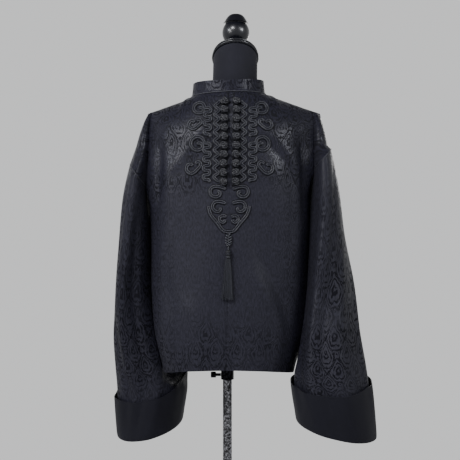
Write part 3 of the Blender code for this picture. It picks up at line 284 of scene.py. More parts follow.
# dress form
FORM_LEAN = 0.018        # sideways lean of the form, per metre up
FORM_OFFSET = 0.006      # at the socket
FORM_CLEAR = 0.0009      # between the form's shoulders and the cloth that rests on them
NECK_TOP = 1.4087        # slanted cut of the neck, at its middle
NECK_SLANT = -0.55       # its rise per metre towards the front
CAP_THICK = 0.011
CAP_HALF = 0.0551
FORM = (
    # z,    wide,  back,  front
    (0.700, 0.140, 0.088, 0.088),
    (0.760, 0.160, 0.108, 0.100),
    (0.860, 0.148, 0.095, 0.094),
    (0.930, 0.124, 0.078, 0.084),
    (1.000, 0.130, 0.084, 0.092),
    (1.060, 0.142, 0.092, 0.104),
    (1.110, 0.150, 0.098, 0.116),
    (1.160, 0.158, 0.100, 0.106),
    (1.200, 0.166, 0.094, 0.084),
    (1.240, 0.178, 0.076, 0.060),
)
FORM_SHOULDERS = (
    # half-width on the shoulder line, back, front
    (0.176, 0.024, 0.018),
    (0.158, 0.036, 0.028),
    (0.122, 0.042, 0.032),
)
NECK_RINGS = (
    # z,    wide,   back,  front
    (1.316, 0.0680, 0.046, 0.040),
    (1.334, 0.0565, 0.050, 0.046),
    (1.358, 0.0535, 0.052, 0.052),
)
NECK_WIDE = 0.0530
NECK_DEEP = 0.0520
BALL_Z = 1.4730
BALL_R = 0.0325
STEM_R = 0.014
BUTTON_Z = 1.4965
BUTTON_R = 0.0295
FINIAL_TOP = 1.5174
POLE_R = 0.0108
SOCKET_R = 0.0155
KNOB_Z = 0.653
KNOB_R = 0.0072
SHANK_R = 0.0035
BASE_R = 0.18
BASE_EDGE = 0.012
BASE_TOP = 0.022
HUB_R = 0.024
HUB_TOP = 0.060


# ---------------------------------------------------------------- looks: sizes and tables
REPEAT_WIDE = 0.050      # the damask's repeat
REPEAT_TALL = 0.086
FAN_PEAK = 0.10          # how far the fans' tops rise to a point, as a share of the repeat
FAN_LOBES = 0.12
FAN_RINGS = 2.5
FAN_LEAVES = 0.30
WOBBLE = (0.016, -0.020)
DRIFT = 0.35             # how unevenly the figure fades up the jacket
YOKE_FADE = (1.04, 1.16)     # heights where the figure comes in on the yoke
SIDE_FADE = (0.09, 0.20)     # distances from the middle where it comes in at the sides
LOW_FADE = (1.12, 0.88)      # heights where the sides' figure grows, downwards
HEM_FADE = (0.84, 0.74)
LEAST_FIGURE = 0.24      # the figure's share where it hardly shows
BRUSHED_FADE = (1.05, 1.14)
SATIN_ROUGH = (0.50, 0.30)   # the satin's roughness below and above those heights
FIGURE_ROUGH = 0.40      # how much rougher the figure is
INNER_STARTS = (-0.85, -0.55)    # how far cloth at the left and right faces inwards: painted shade and dullness begin
INNER_ENDS = (-1.0, -0.95)       # and are whole
INNER_FADE = (0.16, 0.19)        # how far out such cloth is
# how far the colour of such cloth is drawn towards a dark tone of the ground, as painted shade
PAINTED_SHADE_SHARE = 0.45
THREAD = 0.0005
CORD_R = 0.00185         # one cord of a band of two
CORD_PITCH = 0.0043      # between the cords of a band
KNOT_SHOWN_R = 0.0101    # a ball knot over the tops of its cords
KNOT_CORD = 0.225        # its cord, as a share of that
SEAM_RIDGE = 0.0007      # half the thickness of the ridge along a seam
SHADE_WIDE = 0.0056      # half-width of the painted shadow strip under a band of cords
SHELL = 0.0016           # wall of the cloth that shows
VALLEY = {
    # depth and top of the valley along the back's seam, below the tassel, and along the opening
    BACK: (0.0014, 0.86),
    FRONT: (0.0010, 1.25),
}
VALLEY_WIDE = 0.0035

# finer creases laid on the body, beside the large folds: start and end out from the seam
# and up, width and height; a minus height is a trough
FINE_BODY_FOLDS = {
    BACK: (
        # out,    z,     out,    z,     width, height
        (0.060, 0.960, 0.140, 0.774, 0.026, -0.0030),
        (0.052, 0.905, 0.120, 0.790, 0.034, 0.0036),
        (0.160, 1.225, 0.172, 1.040, 0.022, -0.0040),
        (0.140, 1.180, 0.156, 0.930, 0.026, 0.0030),
        (0.176, 0.980, 0.160, 0.760, 0.026, -0.0034),
        (-0.166, 1.220, -0.176, 1.020, 0.020, -0.0036),
        (-0.140, 1.150, -0.158, 0.900, 0.030, 0.0024),
        (-0.150, 0.900, -0.120, 0.720, 0.030, -0.0026),
        (-0.060, 1.240, -0.160, 1.120, 0.030, 0.0022),
        (0.070, 1.240, 0.170, 1.130, 0.030, 0.0026),
        (0.085, 1.200, 0.150, 1.100, 0.024, -0.0022),
        (-0.090, 0.840, -0.060, 0.690, 0.040, 0.0022),
        (0.020, 0.800, 0.010, 0.680, 0.036, -0.0016),
        (0.120, 0.800, 0.105, 0.680, 0.034, 0.0030),
    ),
    FRONT: (
        (0.060, 1.210, 0.160, 1.110, 0.032, 0.0030),
        (-0.060, 1.205, -0.165, 1.100, 0.032, 0.0026),
        (0.150, 1.190, 0.165, 0.980, 0.024, -0.0036),
        (-0.150, 1.190, -0.168, 0.990, 0.024, -0.0036),
        (0.040, 1.110, 0.110, 0.860, 0.036, -0.0032),
        (-0.045, 1.080, -0.110, 0.830, 0.036, -0.0028),
        (0.100, 0.900, 0.090, 0.700, 0.036, 0.0030),
        (-0.095, 0.880, -0.080, 0.690, 0.036, 0.0030),
        (0.150, 0.920, 0.135, 0.720, 0.028, -0.0028),
        (-0.155, 0.900, -0.135, 0.710, 0.028, -0.0026),
    ),
}
FINE_SLEEVE_FOLDS = {
    # along and angle (degrees, back is 90) at the start and the end, width in metres, height
    LEFT: (
        (0.04, 60, 0.55, 40, 0.028, -0.0026),
        (0.10, 95, 0.80, 70, 0.030, 0.0034),
        (0.20, 120, 0.95, 100, 0.026, -0.0046),
        (0.45, 30, 0.98, 45, 0.030, 0.0034),
        (0.50, 60, 0.96, 78, 0.026, -0.0038),
        (0.60, 130, 0.99, 125, 0.026, 0.0036),
        (0.05, 300, 0.70, 320, 0.030, -0.0040),
        (0.15, 265, 0.85, 280, 0.030, 0.0036),
        (0.50, 240, 0.95, 250, 0.028, -0.0036),
        (0.30, 350, 0.95, 345, 0.030, 0.0030),
        (0.25, 180, 0.90, 175, 0.030, -0.0030),
    ),
    RIGHT: (
        (0.02, 40, 0.60, 62, 0.028, -0.0024),
        (0.05, 80, 0.70, 95, 0.030, 0.0022),
        (0.30, 30, 0.97, 42, 0.028, 0.0036),
        (0.40, 70, 0.96, 66, 0.028, -0.0040),
        (0.50, 100, 0.98, 92, 0.028, 0.0036),
        (0.20, 125, 0.90, 120, 0.026, -0.0040),
        (0.05, 300, 0.70, 310, 0.030, -0.0040),
        (0.15, 260, 0.85, 270, 0.030, 0.0036),
        (0.50, 235, 0.95, 240, 0.028, -0.0036),
        (0.35, 340, 0.97, 350, 0.028, 0.0034),
        (0.25, 180, 0.90, 180, 0.030, -0.0030),
    ),
}

SIDES = {LEFT: "left", RIGHT: "right"}
FACES = {BACK: "back", FRONT: "front"}

# ball knots, wound from one cord
KNOT_REACH = (0.50, 0.27)        # how far out the cord runs, as shares of the knot: mean and swing
KNOT_DOME = (0.62, 0.30)         # its height over the knot's middle, and how far all of it is let down
KNOT_WEAVE = 0.17                # how far it goes over and under itself
KNOT_CORE = (0.55, 0.50)         # width and depth of the core, painted near black as the shade inside the knot
KNOT_POINTS = 96
KNOT_TILT = (0.12, 0.10)         # how far the knots lean, sideways and up
KNOT_SPIN = (0.5, 0.37)          # how far each is turned: the first one, and more at each row
KNOT_SHADOW_STRIP = (0.009, 0.002, 103)   # the painted shadow strip under a row of knots: start over it, step down, points
KNOT_SHADOW_HALF = KNOT_OUT * 0.62

# braid
BRAID_HALF = 0.0062
BRAID_POINTS = 60
BRAID_TURNS = 1.6
BRAID_CORDS = 3

# tassel
TASSEL_SEED = 11
TASSEL_THREADS = 170
THREAD_POINTS = 10
THREAD_R = 0.00042
THREAD_TOP = 0.9420
THREAD_END = (0.8425, 0.8490)    # lowest and highest end
THREAD_SWAY = (0.0002, 0.0009)
SKIRT_HALF = (0.0050, 0.0150)    # half-width of the skirt, at its top and at its end
SKIRT_AWAY = (0.0080, 0.0095)    # its depth there
WINDING_R = 0.0006               # the thread wound round the head
WINDING_SIDES = 20
TASSEL_CORES = ((0.9490, 0.0058), (0.9400, 0.0050))   # height and radius of the balls in the head, painted near black as shade through their grain
TASSEL_CORE_AWAY = 0.0062

# frogs
FROG_CORD = (0.004, 0.041, 34)   # straight part of a cord: start and end out from the opening, points
FROG_LANE = 1.02                 # half the pitch of its two cords, as a share of a cord's radius
COIL_AT = 0.0475
COIL_R = (0.0060, 0.0016)        # radius of the coil, outside and inside
COIL_TURNS = 2.1
COIL_POINTS = 59
FROG_KNOT = (0.0064, 0.0052, 0.0046)   # radius, depth and distance off the cloth

# meshes of the form and the stand
FORM_SIDES = 96
FORM_STEPS = 4
NECK_STEPS = 6
FLOOR_SIDES = 96
BUTTON_BEAD = 0.0035
KNOB_SIDES = 48
KNURL = 0.05                     # depth of the knob's grooves, as a share of its radius
KNOB = (
    # out from the socket, radius
    (0, SHANK_R), (0.011, SHANK_R), (0.0118, KNOB_R * 0.8), (0.0128, KNOB_R), (0.0230, KNOB_R),
    (0.0240, KNOB_R * 0.8),
)

CAP_PROFILE = (
    # share of the cap's height, how far past its size
    (0.00, -0.0040), (0.06, -0.0012), (0.16, 0.0008), (0.30, 0.0012), (0.42, 0.0002), (0.47, -0.0022),
    (0.54, -0.0024), (0.60, -0.0010), (0.72, -0.0004), (0.84, -0.0012), (0.94, -0.0034), (1.00, -0.0065),
)

# colours, camera, lights and cuts
SENSOR = 36
WIDE_PX = 460
FOCAL_PX = 833.3
CAMERA = (0.0062, -2.0, 1.0)
GROUND = (0.0152, 0.0150, 0.0234)
FIGURE = (0.0022, 0.0022, 0.0044)
COLLAR_FIGURE = (0.0056, 0.0054, 0.0092)
CUFF_TONE = (0.0058, 0.0058, 0.0098)
CORD_TONE = (0.0106, 0.0110, 0.0184)
# lighter than the cloth: a painted highlight along the seams' ridges
SEAM_HIGHLIGHT_TONE = (0.0220, 0.0220, 0.0310)
KNOT_TONE = (0.0075, 0.0077, 0.0120)
# dark sheet under the cords and knots that stands for their shadow: painted shadow
PAINTED_SHADOW_TONE = (0.0028, 0.0028, 0.0044)
LINING_TONE = (0.0022, 0.0022, 0.0030)
TASSEL_TONE = (0.0074, 0.0080, 0.0150)
WOOD_TONE = (0.0022, 0.0024, 0.0042)
STEEL_TONE = (0.13, 0.13, 0.14)
BLACKENED_TONE = (0.008, 0.008, 0.010)
FORM_TONE = (0.0095, 0.0095, 0.0145)
FLOOR_TONE = (0.62, 0.62, 0.62)
FLOOR_R = 1.45
FLOOR_Z = -0.0005
WORLD = (0.78, 0.785, 0.79)
WORLD_POWER = 1.0
OVERHEAD = 0.12             # how bright the room is straight up, as a share of that
LIGHTS = (
    # name, place, target, size, power, colour, whether it lights matt surfaces too
    ("key", (-1.15, -2.1, 2.9), (0, 0, 1.15), (0.9, 0.6), 78, (0.97, 0.98, 1.0), True),
    ("side", (1.5, -1.9, 2.6), (0, 0, 1.1), (0.7, 0.7), 12, (0.95, 0.97, 1.0), True),
    ("other", (-1.7, -1.5, 1.7), (0, 0, 0.9), (0.7, 0.7), 20, (1.0, 0.99, 0.98), True),
    ("front", (0.5, 2.6, 1.45), (0, 0, 1.0), (1.8, 1.0), 26, (1.0, 0.99, 0.98), True),
    ("gloss_left", (-1.70, -0.95, 2.05), (-0.15, -0.1, 1.2), (0.40, 0.40), 17, (0.90, 0.94, 1.0), False),
    ("gloss_right", (1.60, -1.20, 2.10), (0.15, -0.1, 1.2), (0.40, 0.40), 30, (0.92, 0.95, 1.0), False),
)


# ---------------------------------------------------------------- small helpers
def lerp(a, b, t):
    return a + (b - a) * t


def table(rows, key, column):
    """A column of a table at a key, along a smooth curve through its rows."""
    keys = [row[0] for row in rows]
    values = [row[column] for row in rows]
    if keys[0] > keys[-1]:
        keys.reverse()
        values.reverse()
    key = min(max(key, keys[0]), keys[-1])
    i = max(k for k in range(len(keys) - 1) if keys[k] <= key)
    t = (key - keys[i]) / (keys[i + 1] - keys[i])
    before = values[max(i - 1, 0)]
    after = values[min(i + 2, len(values) - 1)]
    return spline(before, values[i], values[i + 1], after, t)


def spline(p0, p1, p2, p3, t):
    """Catmull-Rom between p1 and p2."""
    a = 2 * p1
    b = (p2 - p0) * t
    c = (2 * p0 - 5 * p1 + 4 * p2 - p3) * t * t
    d = (3 * p1 - p0 - 3 * p2 + p3) * t ** 3
    return 0.5 * (a + b + c + d)


def between(rows, i, t):
    """Every column between rows i and i + 1, along a smooth curve through the rows."""
    near = rows[max(i - 1, 0)], rows[i], rows[i + 1], rows[min(i + 2, len(rows) - 1)]
    return [spline(*values, t) for values in zip(*near)]


def smoothstep(t):
    t = min(max(t, 0.0), 1.0)
    return t * t * (3 - 2 * t)


# ---------------------------------------------------------------- the cloth's surface
def seam_x(z):
    """The centre-back seam and the front opening lean a little."""
    return -0.0016 + (z - 0.690) * 0.0152


def body_half(side, z):
    return table(BODY, z, 1 if side == LEFT else 2)


def body_deep(face, z):
    return table(BODY, z, 3 if face == BACK else 4)


def body_point(side, face, z, share):
    """A point of the body's section: share is 0 at the seam and 1 at the side."""
    y = body_deep(face, z) * max(0.0, 1 - share ** CORNER) ** (1 / CORNER)
    return Vector((seam_x(z) + side * body_half(side, z) * share, face * y, z))


def column_share(column):
    """Where a column stands on the body's section."""
    last = CREASE - OVER_STEPS
    return BODY_EDGE * (1 - (1 - min(column / last, 1.0)) ** COLUMN_SPREAD)


def side_share(step):
    """Columns from the crease (step 0) to the side seam, evenly spaced in depth."""
    start = (1 - 0.93 ** CORNER) ** (1 / CORNER)
    deep = start * (1 - step / SIDE_COLUMNS)
    return (1 - deep ** CORNER) ** (1 / CORNER)


def neckline(side, face, turn):
    """The neckline loop: turn is 0 at the centre and 1 at the side of the neck."""
    angle = turn * pi / 2
    x = NECK_X + side * NECK_HALF * sin(angle)
    deep = NECK_BACK if face == BACK else NECK_FRONT
    dip = NECK_DIP * cos(angle) ** 2 if face == FRONT else 0
    return Vector((x, face * deep * cos(angle), NECK_Z + NECK_TILT * x - dip))


def shoulder_line(side, share):
    """The top of the shoulder: share is 0 at the neck and 1 at the shoulder tip."""
    start = NECK_X + side * NECK_HALF
    x = lerp(start, SHOULDER_X + side * SHOULDER_HALF, share)
    line = SHOULDER_Z + (SHOULDER_HALF - abs(x - SHOULDER_X)) * SHOULDER_RISE
    at_neck = NECK_Z + NECK_TILT * start
    return Vector((x, 0, lerp(at_neck, line, smoothstep(share * 6))))


def top_point(side, face, column):
    """The top edge of a front or back: the neckline, then the shoulder line."""
    if column <= NECK_COLUMNS:
        return neckline(side, face, column / NECK_COLUMNS)
    if column <= CREASE:
        return shoulder_line(side, 0.9 * (column - NECK_COLUMNS) / RIDGE_COLUMNS)
    return shoulder_line(side, lerp(0.9, 1.0, (column - CREASE) / ARM_COLUMNS))


def arm_angle(column, at_crease):
    """Angle round the arm: 0 on the over-arm line, at_crease in the crease."""
    return at_crease * (OVERARM - column) / ARM_COLUMNS


def armhole_size(side):
    """Middle, half-width and height of the armhole seam's loop."""
    outer, top, fall, deep = ARMHOLE[side]
    inner = body_point(side, BACK, top - 0.05, 1).x
    wide = abs(outer - inner) / 2
    return (outer + inner) / 2, wide, deep, top, fall


def armhole_point(side, angle):
    """The armhole seam: angle 0 over the arm, a quarter turn at its back, a half turn under it."""
    middle, wide, deep, top, fall = armhole_size(side)
    x = middle + side * wide * cos(angle)
    return Vector((x, -deep * sin(angle), top - fall * wide * (1 - cos(angle))))


def yoke_point(side, face, column):
    """The level section at the yoke, round the body and then round the arm."""
    if column < CREASE:
        return body_point(side, face, YOKE_Z, column_share(column))
    outer, wide, deep = YOKE_ARM[side]
    angle = arm_angle(column, YOKE_CREASE_ANGLE)
    x = outer - side * wide * (1 - cos(angle))
    return Vector((x, face * deep * sin(angle), YOKE_Z))


def bulge(column):
    """How round a column is between the shoulder and the yoke: 1 is straight, 2 a quarter round."""
    if column <= NECK_COLUMNS:
        return lerp(1.25, 1.9, column / NECK_COLUMNS)
    if column <= CREASE:
        return 1.9
    return lerp(1.9, 1.05, smoothstep((column - CREASE) / ARM_COLUMNS))


def panel_point(side, face, row, column):
    """A point of a front or back panel; the columns beside the crease run straight to it."""
    last = CREASE - OVER_STEPS
    if row > 0 and last < column < CREASE:
        share = (column - last) / OVER_STEPS
        return plain_point(side, face, row, last).lerp(plain_point(side, face, row, CREASE), share)
    return plain_point(side, face, row, column)


def plain_point(side, face, row, column):
    """A point of a front or back panel on its outer side."""
    if row <= CAP_ROWS:
        down = 1 - cos(row / CAP_ROWS * pi / 2)
        power = bulge(column)
        out = (1 - (1 - down) ** power) ** (1 / power)
        top, yoke = top_point(side, face, column), yoke_point(side, face, column)
        return Vector((lerp(top.x, yoke.x, out), lerp(top.y, yoke.y, out), lerp(top.z, yoke.z, down)))
    crease_z = armhole_point(side, SEAM_CREASE_ANGLE).z
    if row <= ARMHOLE_ROW:
        down = (row - CAP_ROWS) / ARMHOLE_ROWS
        if column < CREASE:
            return body_point(side, face, lerp(YOKE_Z, crease_z, down), column_share(column))
        return arm_point(side, face, down, column)
    down = (row - ARMHOLE_ROW) / LOWER_ROWS
    if column <= CREASE:
        share = side_share(0) if column == CREASE else column_share(column)
        return lower_point(side, face, down, share, crease_z, column == CREASE)
    share = side_share(column - CREASE)
    return lower_point(side, face, down, share, crease_z, True)


def arm_point(side, face, down, column):
    """Between the yoke and the armhole seam, on the arm's round."""
    outer, wide, deep = YOKE_ARM[side]
    middle, seam_wide, seam_deep, _, _ = armhole_size(side)
    yoke_angle = arm_angle(column, YOKE_CREASE_ANGLE)
    seam_angle = arm_angle(column, SEAM_CREASE_ANGLE)
    angle = lerp(yoke_angle, seam_angle, down)
    x = lerp(outer - side * wide, middle, down) + side * lerp(wide, seam_wide, down) * cos(angle)
    y = face * lerp(deep, seam_deep, down) * sin(angle)
    return Vector((x, y, lerp(YOKE_Z, armhole_point(side, seam_angle).z, down)))


def lower_point(side, face, down, share, crease_z, from_armhole):
    """Below the crease's end; columns at the side start on the armhole seam."""
    deep_share = (1 - share ** CORNER) ** (1 / CORNER)
    hem = HEM_Z + (HEM_BACK_LIFT * deep_share ** 2 if face == BACK else 0)
    start = crease_z
    if from_armhole:
        turn = side_turn(share)
        on_seam = armhole_point(side, turn)
        on_seam.y = -face * on_seam.y
        start = on_seam.z
    z = lerp(start, hem, down)
    point = body_point(side, face, z, share)
    if from_armhole:
        level = body_point(side, face, start, share)
        fade = 1 - smoothstep(down * UNDERARM_FADE)
        point += (on_seam - level) * fade
        point.z = z
    return point


def side_turn(share):
    """Angle on the armhole seam where a side column starts."""
    start = (1 - side_share(0) ** CORNER) ** (1 / CORNER)
    step = 1 - (1 - share ** CORNER) ** (1 / CORNER) / start
    return lerp(SEAM_CREASE_ANGLE, pi, min(max(step, 0), 1))


# ---------------------------------------------------------------- sleeves
def seam_ring():
    """Angles of the armhole seam's points, from the over-arm line over the back and round."""
    back = [arm_angle(column, SEAM_CREASE_ANGLE) for column in range(OVERARM, CREASE, -1)]
    back += [lerp(SEAM_CREASE_ANGLE, pi, step / SIDE_COLUMNS) for step in range(SIDE_COLUMNS)]
    front = [2 * pi - angle for angle in reversed(back[1:])]
    return back + [pi] + front


def sleeve_rows(side):
    """The sleeve's table with the armhole seam as its first row."""
    middle, wide, deep, top, fall = armhole_size(side)
    first = (middle, 0, top - fall * wide, wide, deep, 0, -fall, 0)
    return (first,) + SLEEVE[side]


def sleeve_values(side, along):
    """A row of the sleeve's table at any place: 0 is the armhole seam and 1 the lower end."""
    rows = sleeve_rows(side)
    place = along * (len(rows) - 1)
    i = min(int(place), len(rows) - 2)
    return between(rows, i, place - i)


def off_body(point, along):
    """Moves a sleeve's point out until it is clear of the body's section at its height."""
    clear = SLEEVE_CLEAR + UNDERARM_CLEAR * (1 - smoothstep(along * 5))
    clear += CUFF_CLEAR * smoothstep((along - 0.5) * 4)
    side = LEFT if point.x < 0 else RIGHT
    face = BACK if point.y < 0 else FRONT
    x = abs(point.x - seam_x(point.z)) / (body_half(side, point.z) + clear)
    y = abs(point.y) / (body_deep(face, point.z) + clear)
    size = (x ** CORNER + y ** CORNER) ** (1 / CORNER)
    if size >= 1:
        return point
    moved = Vector((seam_x(point.z) + (point.x - seam_x(point.z)) / size, point.y / size, point.z))
    return point.lerp(moved, smoothstep((point.z - HEM_Z + 0.06) / 0.05))


def sleeve_point(side, along, angle):
    """A point of the sleeve's outer side, clear of the body."""
    x, y, z, wide, deep, turn, inward, forward = sleeve_values(side, along)
    turn = radians(turn)
    out = Vector((side * cos(turn), sin(turn), 0))
    back = Vector((side * sin(turn), -cos(turn), 0))
    arm = out * wide * cos(angle) + back * deep * sin(angle)
    point = Vector((x, y, z)) + arm
    point.z += -side * inward * arm.x + forward * arm.y
    return point.lerp(off_body(point, along), smoothstep(along * 14))


def ring_angles(along):
    """The seam's uneven angles even out within the first quarter of the sleeve."""
    seam = seam_ring()
    even = [2 * pi * i / len(seam) for i in range(len(seam))]
    share = smoothstep(along * 4)
    return [lerp(a, b, share) for a, b in zip(seam, even)]


def fold_height(folds, a, b):
    """Sum of the folds at a place: each is a soft bell across its line, faded at its ends."""
    total = 0.0
    for a0, b0, a1, b1, width, height in folds:
        da, db = a1 - a0, b1 - b0
        long = hypot(da, db)
        t = ((a - a0) * da + (b - b0) * db) / (long * long)
        bow = FOLD_BOW * long * sin(pi * min(max(t, 0), 1))
        off = ((a - a0) * db - (b - b0) * da) / long + bow
        ends = smoothstep((t + FOLD_REACH) / (2 * FOLD_REACH))
        ends *= smoothstep((1 + FOLD_REACH - t) / (2 * FOLD_REACH))
        total += height * exp(-(off / (width / 2)) ** 2) * ends
    return total


def collar_point(side, face, turn, level):
    base = neckline(side, face, turn)
    height = COLLAR_SIDE_HEIGHT
    if face == BACK:
        height = lerp(COLLAR_HEIGHT, COLLAR_SIDE_HEIGHT, min(turn * 1.5, 1))
    if face == FRONT and turn == 0:
        height *= 0.8
        base.x += side * COLLAR_OPENING / 2
    inward = Vector((NECK_X - base.x, -base.y, 0)).normalized() * COLLAR_LEAN_IN * level
    return base + inward + Vector((0, 0, LAID_GAP + height * level))


def walk(start, height, heading, arcs, step=0.0012):
    """Points of a curve made of arcs, each a length and a turn."""
    x, z, heading = start, height, radians(heading)
    points = [(x, z)]
    for length, turn in arcs:
        count = max(1, round(length / step))
        for _ in range(count):
            heading += radians(turn) / count / 2
            x += length / count * cos(heading)
            z += length / count * sin(heading)
            heading += radians(turn) / count / 2
            points.append((x, z))
    return points


def mirrored(path, side):
    """A path given out from the seam, put on one side of it."""
    return [(seam_x(z) + side * out, z) for out, z in path]


def form_x(z):
    return FORM_OFFSET + FORM_LEAN * (z - 0.684)


def oval(middle, wide, back, front, z, count, power=2.2):
    ring = []
    for i in range(count):
        angle = 2 * pi * i / count
        c, s = cos(angle), sin(angle)
        deep = back if s < 0 else front
        x = wide * copysign(abs(c) ** (2 / power), c)
        y = deep * copysign(abs(s) ** (2 / power), s)
        ring.append(Vector((middle + x, y, z)))
    return ring


# ---------------------------------------------------------------- shader helpers
class Shade:
    """A material's node tree, with short calls for the nodes that the looks below use."""

    def __init__(self, name, colour=(0.02, 0.02, 0.02), roughness=0.5, metallic=0.0, **constants):
        self.material = bpy.data.materials.new(name)
        self.material.use_nodes = True
        self.tree = self.material.node_tree
        self.shader = self.tree.nodes["Principled BSDF"]
        self.set("Base Color", (*colour, 1))
        self.set("Roughness", roughness)
        self.set("Metallic", metallic)
        for socket, value in constants.items():
            self.set(socket.replace("_", " "), value)

    def set(self, socket, value):
        self.shader.inputs[socket].default_value = value

    def node(self, kind, **inputs):
        made = self.tree.nodes.new(kind)
        for name, value in inputs.items():
            self.feed(made.inputs[name.replace("_", " ")], value)
        return made

    def feed(self, socket, value):
        if isinstance(value, bpy.types.NodeSocket):
            self.tree.links.new(value, socket)
        elif isinstance(value, tuple) and len(value) == 3 and socket.type == "RGBA":
            socket.default_value = (*value, 1)
        else:
            socket.default_value = value

    def math(self, operation, a, b=0.0):
        made = self.tree.nodes.new("ShaderNodeMath")
        made.operation = operation
        for socket, value in zip(made.inputs, (a, b)):
            self.feed(socket, value)
        return made.outputs[0]

    def add(self, a, b):
        return self.math("ADD", a, b)

    def times(self, a, b):
        return self.math("MULTIPLY", a, b)

    def swing(self, value, size):
        """A value round a half, made to swing round 0."""
        return self.times(self.math("SUBTRACT", value, 0.5), size)

    def step(self, value, low, high, start=0.0, end=1.0):
        made = self.tree.nodes.new("ShaderNodeMapRange")
        made.interpolation_type = "SMOOTHSTEP"
        for socket, number in zip(made.inputs, (value, low, high, start, end)):
            self.feed(socket, number)
        return made.outputs[0]

    def mix(self, share, a, b):
        made = self.tree.nodes.new("ShaderNodeMix")
        made.data_type = "RGBA"
        self.feed(made.inputs[0], share)
        self.feed(made.inputs[6], a)
        self.feed(made.inputs[7], b)
        return made.outputs[2]

    def noise(self, vector, scale, detail, rough=0.5):
        made = self.node("ShaderNodeTexNoise", Scale=scale, Detail=detail, Roughness=rough)
        self.feed(made.inputs["Vector"], vector)
        return made.outputs[0]

    def grain(self):
        """The cloth's own coordinates: across and along its grain, in metres."""
        made = self.tree.nodes.new("ShaderNodeAttribute")
        made.attribute_name = "grain"
        return made.outputs["Vector"]

    def place(self):
        return self.tree.nodes.new("ShaderNodeTexCoord").outputs["Object"]

    def split(self, vector):
        made = self.node("ShaderNodeSeparateXYZ", Vector=vector)
        return made.outputs[0], made.outputs[1], made.outputs[2]

    def join(self, x, y):
        return self.node("ShaderNodeCombineXYZ", X=x, Y=y).outputs[0]

    def bump(self, height, distance, strength, under=None):
        made = self.node("ShaderNodeBump", Height=height, Distance=distance, Strength=strength)
        if under is not None:
            self.feed(made.inputs["Normal"], under)
        return made.outputs[0]

    def wire(self, socket, value):
        self.feed(self.shader.inputs[socket], value)


def scaled(colour, share):
    return tuple(share * c for c in colour)


def wave_of(shade, value, period, phase=0.0):
    """Cosine of a length, once every period."""
    turn = shade.times(value, 2 * pi / period)
    return shade.math("COSINE", shade.add(turn, phase) if phase else turn)


def damask_figure(shade, grain, u, v):
    """Nested ogee fans in a half drop, with pointed tops and broken edges."""
    across = wave_of(shade, u, REPEAT_WIDE)
    peak = shade.times(shade.math("ABSOLUTE", shade.math(
        "SINE", shade.times(u, 2 * pi / REPEAT_WIDE))), REPEAT_TALL * FAN_PEAK)
    lifted = shade.add(v, peak)
    up = wave_of(shade, lifted, REPEAT_TALL)
    field = shade.math("ABSOLUTE", shade.add(across, up))
    lobes = shade.times(wave_of(shade, u, REPEAT_WIDE / 5), wave_of(shade, lifted, REPEAT_TALL / 6))
    field = shade.add(field, shade.times(lobes, FAN_LOBES))
    rings = shade.math("SINE", shade.times(field, pi * FAN_RINGS))
    leaves = shade.times(wave_of(shade, u, REPEAT_WIDE / 2, 0.6),
                         wave_of(shade, v, REPEAT_TALL / 3, 1.1))
    rings = shade.add(rings, shade.times(leaves, FAN_LEAVES))
    broken = shade.step(shade.noise(grain, 75.0, 2.0), 0.32, 0.48)
    return shade.times(shade.step(rings, 0.20, 0.60), broken)


def damask_shows(shade, place, side, z):
    """The figure shows on the yoke, down the sides and sleeves and at the hem, less in the middle."""
    drift = shade.add(z, shade.swing(shade.noise(place, 7.0, 2.0), DRIFT))
    yoke = shade.step(drift, *YOKE_FADE)
    edge = shade.times(shade.step(side, *SIDE_FADE), shade.step(drift, *LOW_FADE, 0.35, 1.0))
    hem = shade.step(drift, *HEM_FADE, 0.0, 0.8)
    where = shade.math("MAXIMUM", yoke, shade.math("MAXIMUM", edge, hem))
    cloudy = shade.step(shade.noise(place, 9.0, 2.0), 0.38, 0.54, 0.55, 1.0)
    return shade.times(shade.add(shade.times(where, 1 - LEAST_FIGURE), LEAST_FIGURE), cloudy)


